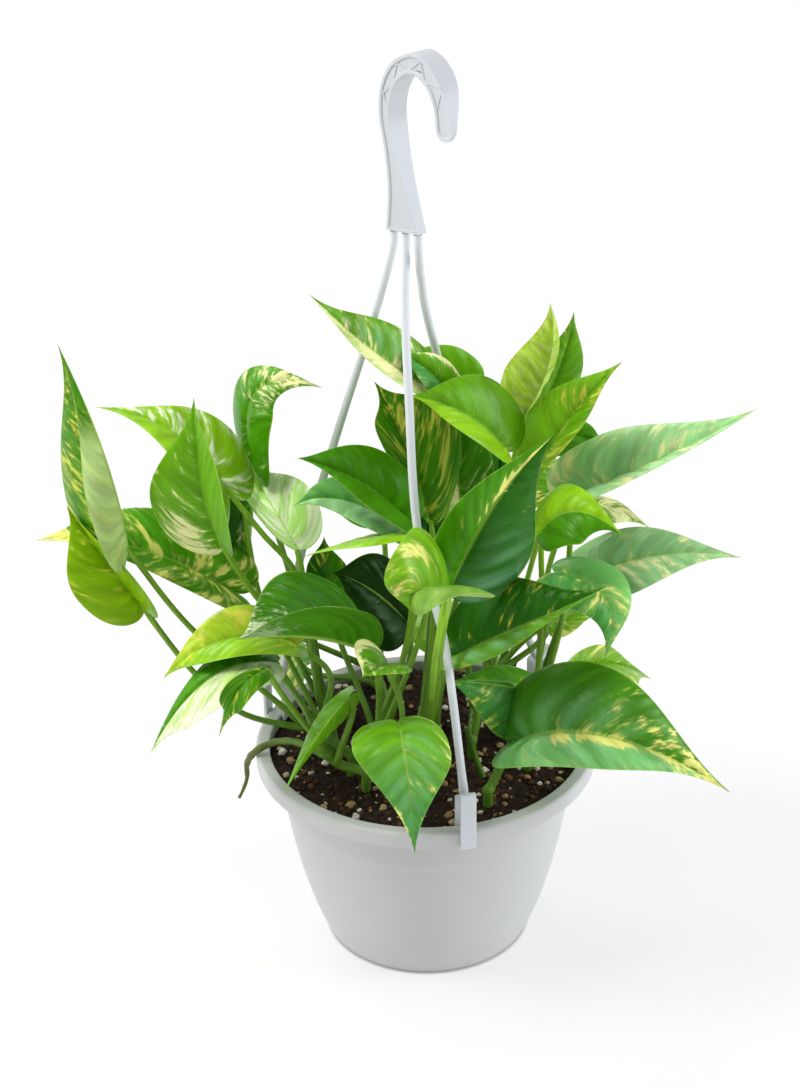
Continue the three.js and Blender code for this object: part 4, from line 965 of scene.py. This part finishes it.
def make_hook():
    """The hook: its back, its raised border and the sunk front inside that, and the ribs on it."""
    outer, inner, sunk = hook_line(0), hook_line(BORDER), hook_line(BORDER + FLOOR_SLANT)
    n = len(outer)
    points = [hook_point(u, w, -hook_back(u, w)) for u, w in outer]
    points += [hook_point(u, w, HOOK_FACE) for u, w in outer]
    points += [hook_point(u, w, HOOK_FACE) for u, w in inner]
    points += [hook_point(u, w, HOOK_FACE - SUNK) for u, w in sunk]
    faces = [face[::-1] for face in ring_faces(4, n)]
    faces += [face[::-1] for face in filled(outer)]
    faces += [tuple(3 * n + k for k in face) for face in filled(sunk)]
    body, ribs = Solid(), Solid()
    body.add(points, faces)
    for k in range(RIBS):
        rib(ribs, rib_corner(k), rib_corner(k + 1))
    for name, solid, edge in (("hook_body", body, 0.45), ("hook_ribs", ribs, 0.2)):
        made = solid.build(name, [hook_plastic], flat_angle=35)
        soften(made, edge)
        stand_in(made, "hanger_hook")


def rib(solid, start, end):
    along = unit(end - start)
    aside = np.array([-along[1], along[0]]) * RIB_WIDE / 2
    ends = [start - along * 0.3, end + along * 0.3]
    corners = [ends[0] - aside, ends[1] - aside, ends[1] + aside, ends[0] + aside]
    points = [hook_point(u, w, d) for d in (HOOK_FACE - SUNK - 0.3, HOOK_FACE - 0.35) for u, w in corners]
    faces = [(0, 3, 2, 1), (4, 5, 6, 7), (0, 1, 5, 4), (1, 2, 6, 5), (2, 3, 7, 6), (3, 0, 4, 7)]
    solid.add(points, faces)


def soften(piece, width):
    """Rounds a piece's sharp edges a little."""
    bevel = piece.modifiers.new("soft_edges", "BEVEL")
    bevel.width = width * MM
    bevel.segments = 2
    bevel.limit_method = "ANGLE"
    bevel.angle_limit = math.radians(50)
    bevel.harden_normals = True


# For each strand the azimuth of its clip, its place along the hook's foot, and the places that it passes.
STRANDS = {
    "front": (12.5, -1.3, [
        (405, 300, -10), (409, 400, -30), (418, 533, -46), (445, 645, -64), (452.8, 700, -75),
    ]),
    "left": (-112, -11, [(376, 310, 8), (357, 370, 12), (335, 440, 18), (300, 560, 26), (287.5, 645, 30)]),
    "right": (132, 8.5, [(424, 300, 8), (438, 358, 28), (472, 480, 50), (505, 590, 58)]),
}
# A clip in section, as distances from the pot's axis and heights above the rim.
CLIP = [
    (100.4, -10.2), (102.6, -10.2), (102.6, 22), (101.5, 24.4), (99.7, 25), (90, 18.6), (88.6, 16.6),
    (88.6, -4.2), (90.6, -4.2), (90.7, 15.4), (100.3, 21.4),
]
CLIP_ENTRY = (92.5, 19)
STRAND_STEPS = 110
STRAND_SIDES = 14


def make_strand(name, azimuth, offset, places):
    """A strand from under the hook's foot to the clip that grips the pot's rim."""
    turn = math.radians(azimuth)
    out = np.array([math.sin(turn), -math.cos(turn), 0])
    aside = np.array([-out[1], out[0], 0])
    low, high = HOOK_FOOT
    foot = low[1] + (high[1] - low[1]) * (offset - low[0]) / (high[0] - low[0])
    top = np.array(hook_point(offset, foot - GAP - STRAND_R * 0.2, HOOK_FACE / 2))
    entry = out * CLIP_ENTRY[0] + [0, 0, RIM_TOP + CLIP_ENTRY[1]]
    end = at(places[-1])
    near = entry + unit(end - entry) * 9
    line = through([top, top - [0, 0, 5], *[at(place) for place in places], near, entry], STRAND_STEPS)
    cord, clip = Solid(), Solid()
    tube(cord, line, STRAND_R * (1 + 0.15 * smooth(np.linspace(0, 1, len(line)), 0.95, 1)), STRAND_SIDES)
    strand = cord.build("cord_" + name, [strand_plastic], flat_angle=60)
    section = [out * r + [0, 0, RIM_TOP + z] for r, z in CLIP]
    points = [p + aside * half for half in (-CLIP_WIDE / 2, CLIP_WIDE / 2) for p in section]
    n = len(section)
    faces = ring_faces(2, n)
    for face in filled(CLIP):
        faces += [face[::-1], tuple(n + k for k in face)]
    clip.add(points, faces)
    gripper = clip.build("clip_" + name, [strand_plastic], flat_angle=35)
    soften(gripper, 0.6)
    for piece in (strand, gripper):
        stand_in(piece, "strand_" + name)


# ---- materials ----
class Shader:
    """A node material round one Principled shader."""

    def __init__(self, name, **constants):
        self.material = bpy.data.materials.new(name)
        self.material.use_nodes = True
        self.tree = self.material.node_tree
        self.shader = self.tree.nodes["Principled BSDF"]
        for socket, value in constants.items():
            self.shader.inputs[socket.replace("_", " ")].default_value = value

    def node(self, kind, inputs=(), **settings):
        made = self.tree.nodes.new("ShaderNode" + kind)
        for name, value in settings.items():
            setattr(made, name, value)
        for socket, value in dict(inputs).items():
            self.feed(made.inputs[socket], value)
        return made

    def feed(self, socket, value):
        if isinstance(value, bpy.types.NodeSocket):
            self.tree.links.new(value, socket)
        else:
            socket.default_value = value

    def attribute(self, name, output="Color"):
        return self.node("Attribute", attribute_name=name).outputs[output]

    def position(self):
        return self.node("NewGeometry").outputs["Position"]

    def maths(self, operation, a, b):
        return self.node("Math", {0: a, 1: b}, operation=operation).outputs[0]

    def weighed(self, *terms):
        """The sum of values, each times its weight."""
        total, *others = (self.maths("MULTIPLY", value, weight) for value, weight in terms)
        for term in others:
            total = self.maths("ADD", total, term)
        return total

    def ramp(self, value, low, high, out_low=0.0, out_high=1.0):
        inputs = {0: value, 1: low, 2: high, 3: out_low, 4: out_high}
        return self.node("MapRange", inputs, interpolation_type="SMOOTHSTEP").outputs[0]

    def mix(self, share, a, b, blend="MIX"):
        inputs = {0: share, 6: a, 7: b}
        return self.node("Mix", data_type="RGBA", blend_type=blend, inputs=inputs).outputs[2]

    def shaded(self, tone, shade):
        grey = self.node("CombineColor", {0: shade, 1: shade, 2: shade}).outputs[0]
        return self.mix(1.0, tone, grey, "MULTIPLY")

    def scaled(self, vector, scale):
        return self.node("Mapping", {"Vector": vector, "Scale": scale}).outputs[0]

    def noise(self, vector, scale, detail=2.0, rough=0.5):
        inputs = {"Vector": vector, "Scale": scale, "Detail": detail, "Roughness": rough}
        return self.node("TexNoise", inputs).outputs[0]

    def bump(self, height, strength, distance):
        inputs = {"Height": height, "Strength": strength, "Distance": distance}
        self.feed(self.shader.inputs["Normal"], self.node("Bump", inputs).outputs[0])

    def paint(self, **sockets):
        for name, value in sockets.items():
            self.feed(self.shader.inputs[name.replace("_", " ")], value)
        return self.material


def rgba(c):
    return (*c, 1.0)


def leaf_material(name, underside):
    s = Shader(name, Specular_IOR_Level=0.26, Specular_Tint=(0.65, 0.95, 0.5, 1.0))
    grain = s.attribute("grain", "Vector")
    tone = s.attribute("under" if underside else "tone")
    cream = s.attribute("cream")
    streak = s.attribute("streak", "Fac")
    out = s.attribute("out", "Fac")
    # brushed streaks run out along the side veins, gathered into fields, with threads between them
    fields = s.noise(s.scaled(grain, (0.5, 0.9, 1)), 1.0, 1.0)
    flecks = s.noise(s.scaled(grain, (0.95, 3.2, 1)), 1.0, 2.0, 0.55)
    threads = s.noise(s.scaled(grain, (1.6, 8.5, 1)), 1.0, 1.0)
    drawn = s.weighed((fields, 0.36), (flecks, 0.48), (threads, 0.16))
    level = s.maths("SUBTRACT", 0.69, s.maths("MULTIPLY", streak, 0.37))
    over = s.maths("SUBTRACT", drawn, level)
    halo = s.maths("MULTIPLY", s.ramp(over, -0.07, 0.015), 0.3 if underside else 0.8)
    full = s.maths("MULTIPLY", s.ramp(over, 0.0, 0.05), 0.25 if underside else 0.92)
    paint = s.mix(halo, tone, s.mix(0.34, tone, cream))
    paint = s.mix(full, paint, cream)
    # soft lights and darks along the veins, a pale midrib and a pale thin margin
    mottle = s.noise(s.scaled(grain, (0.35, 1.6, 1)), 1.0, 3.0)
    paint = s.shaded(paint, s.ramp(mottle, 0.3, 0.7, 0.8, 1.14))
    pale = rgba(colour(168, 204, 92))
    paint = s.mix(s.ramp(out, 0.012, 0.05, 0.75 if underside else 0.55, 0.0), paint, pale)
    paint = s.mix(s.ramp(out, 0.965, 0.995, 0.0, 0.45), paint, pale)
    bands = {"Vector": s.scaled(grain, (0.02, 1.0, 0)), "Scale": 0.4, "Distortion": 1.2}
    side_veins = s.node("TexWave", bands, bands_direction="Y").outputs[1]
    s.bump(s.weighed((side_veins, 0.35), (threads, 0.25)), 0.6, 0.0009)
    smoothest, roughest = (0.5, 0.62) if underside else (0.26, 0.36)
    return s.paint(Base_Color=paint, Roughness=s.ramp(mottle, 0.3, 0.7, smoothest, roughest))


def stalk_material():
    s = Shader("stalk_skin", Specular_IOR_Level=0.35)
    place = s.position()
    blotch = s.noise(s.scaled(place, (160, 160, 60)), 1.0, 3.0)
    tinted = s.shaded(s.attribute("tone"), s.ramp(blotch, 0.3, 0.7, 0.82, 1.12))
    fibres = s.noise(s.scaled(place, (900, 900, 60)), 1.0, 2.0)
    s.bump(fibres, 0.25, 0.0004)
    return s.paint(Base_Color=tinted, Roughness=s.ramp(blotch, 0.3, 0.7, 0.4, 0.55))


def earth_material():
    s = Shader("soil_earth", Specular_IOR_Level=0.25)
    place = s.position()
    crumbs = s.noise(place, 420, 5.0, 0.65)
    patches = s.noise(place, 90, 3.0)
    base = s.mix(s.ramp(crumbs, 0.35, 0.7), rgba(colour(16, 10, 7)), rgba(colour(62, 40, 26)))
    base = s.mix(s.ramp(patches, 0.4, 0.75, 0.0, 0.5), base, rgba(colour(34, 22, 15)))
    s.bump(crumbs, 0.9, 0.0016)
    return s.paint(Base_Color=base, Roughness=s.ramp(patches, 0.3, 0.7, 0.75, 0.95))


def grain_material(name, rough):
    s = Shader(name, Specular_IOR_Level=0.3)
    pits = s.noise(s.position(), 900, 3.0)
    tinted = s.mix(s.ramp(pits, 0.35, 0.65, 0.45, 0.0), s.attribute("tone"), rgba(colour(92, 66, 42)))
    s.bump(pits, 0.6, 0.0006)
    return s.paint(Base_Color=tinted, Roughness=s.ramp(pits, 0.3, 0.7, rough, rough + 0.15))


def plastic_material(name, low, high, rough, soft):
    s = Shader(name, Specular_IOR_Level=0.4, Subsurface_Weight=soft, Subsurface_Scale=0.004,
               Subsurface_Radius=(1.0, 1.0, 1.1))
    place = s.position()
    cloud = s.noise(place, 24, 3.0)
    s.bump(s.noise(place, 1400, 2.0), 0.08, 0.0003)
    roughness = s.ramp(cloud, 0.3, 0.7, rough, rough + 0.08)
    return s.paint(Base_Color=s.mix(cloud, rgba(low), rgba(high)), Roughness=roughness)


leaf_top = leaf_material("leaf_top", False)
leaf_under = leaf_material("leaf_under", True)
stalk_skin = stalk_material()
soil_earth = earth_material()
perlite_grain = grain_material("perlite_grain", 0.7)
soil_crumb = grain_material("soil_crumb", 0.8)
pot_plastic = plastic_material("pot_plastic", colour(192, 193, 191), colour(197, 198, 198), 0.42, 0.0)
hook_plastic = plastic_material("hook_plastic", colour(184, 187, 192), colour(192, 195, 200), 0.36, 0.1)
strand_plastic = plastic_material("strand_plastic", colour(208, 212, 216), colour(214, 218, 222), 0.36, 0.1)

# ---- the pieces ----
make_pot()
make_soil()
make_trim()
scatter("soil_crumbs", 900, (0.7, 2.4), CRUMB_TONES, soil_crumb, 5, 0.1)
scatter("perlite", 330, (0.7, 3.0), GRAIN_TONES, perlite_grain, 8, 0.25)
make_hook()
for strand_name, strand in STRANDS.items():
    make_strand(strand_name, *strand)
for stem_name, stem in STEMS.items():
    leafy_stem(stem_name, *stem)

# ---- floor, light and view, in metres ----
FLOOR_R = 9.0
FLOOR_GLOW = 0.62
# painted shadow: the floor's weaker glow right at the pot's base, a painted contact shadow
CONTACT_SHADOW_GLOW = 0.2  # right at the pot's base
FAR_GLOW = 1.4  # times the glow near the pot
SKY = 0.47  # its light on the plant
SEEN_SKY = 1.0
# For each light its place, the height above the base that it is aimed at, its size, its watts and its tint.
LIGHTS = {
    "key": ((-1.1, -0.3, 1.9), 0.25, (1.0, 1.0), 29, (1.0, 0.99, 0.95)),
    "rim": ((-0.9, 1.6, 1.5), 0.25, (1.2, 1.0), 20, (1.0, 1.0, 0.96)),
    "side": ((-1.9, 0.0, 0.8), 0.1, (0.9, 1.0), 9, (1.0, 1.0, 1.0)),
    "cool": ((1.8, -0.2, 0.9), 0.2, (0.9, 1.2), 26, (0.9, 0.94, 1.0)),
}


def linked(name, data):
    made = bpy.data.objects.new(name, data)
    bpy.context.scene.collection.objects.link(made)
    return made


def make_floor():
    """Pale paper that glows a little, so that it stays white, and less in a thin ring where the pot stands on
    it: a painted contact shadow.
    """
    mesh = bpy.data.meshes.new("floor")
    corners = ring(FLOOR_R, 64)
    mesh.from_pydata([(x, y, 0) for x, y in corners], [], [tuple(range(len(corners)))])
    s = Shader("floor_paper", Roughness=0.9, Specular_IOR_Level=0.0, Base_Color=(0.3, 0.3, 0.3, 1),
               Emission_Color=(1, 1, 1, 1))
    out = s.node("VectorMath", {0: s.position()}, operation="LENGTH").outputs["Value"]
    # A painted contact shadow: the glow drops in a thin ring round the pot's base.
    contact = s.ramp(out, (BASE_R - 1) * MM, (BASE_R + 2) * MM, CONTACT_SHADOW_GLOW, FLOOR_GLOW)
    glow = s.maths("MULTIPLY", contact, s.ramp(out, 0.5, 3.5, 1.0, FAR_GLOW))
    mesh.materials.append(s.paint(Emission_Strength=glow))
    linked("floor", mesh)


def make_sky():
    """White light from all round, brighter where the view sees it straight."""
    world = bpy.data.worlds.new("studio")
    world.use_nodes = True
    nodes, links = world.node_tree.nodes, world.node_tree.links
    nodes["Background"].inputs[0].default_value = (1.0, 1.0, 1.0, 1)
    strength = nodes.new("ShaderNodeMapRange")
    strength.inputs[3].default_value, strength.inputs[4].default_value = SKY, SEEN_SKY
    links.new(nodes.new("ShaderNodeLightPath").outputs["Is Camera Ray"], strength.inputs[0])
    links.new(strength.outputs[0], nodes["Background"].inputs[1])
    bpy.context.scene.world = world


def make_light(name, place, aim, size, watts, tint):
    light = bpy.data.lights.new(name, "AREA")
    light.shape = "RECTANGLE"
    light.size, light.size_y = size
    light.energy = watts
    light.color = tint
    made = linked(name, light)
    made.location = place
    made.rotation_euler = (Vector((0, 0, aim)) - Vector(place)).to_track_quat("-Z", "Y").to_euler()


def make_view():
    scene = bpy.context.scene
    scene.view_settings.view_transform = "Standard"
    lens = bpy.data.cameras.new("view")
    lens.sensor_fit = "VERTICAL"
    lens.sensor_height = SENSOR
    lens.lens = FOCAL / FRAME_TALL * SENSOR
    lens.clip_end = 40
    right_way = ASIDE * math.cos(ROLL) + ABOVE * math.sin(ROLL)
    up_way = ABOVE * math.cos(ROLL) - ASIDE * math.sin(ROLL)
    camera = linked("view", lens)
    rows = [(right_way[k], up_way[k], -AHEAD[k], EYE[k] * MM) for k in range(3)]
    camera.matrix_world = Matrix(rows + [(0, 0, 0, 1)])
    scene.camera = camera


make_floor()
make_sky()
for light_name, light in LIGHTS.items():
    make_light(light_name, *light)
make_view()
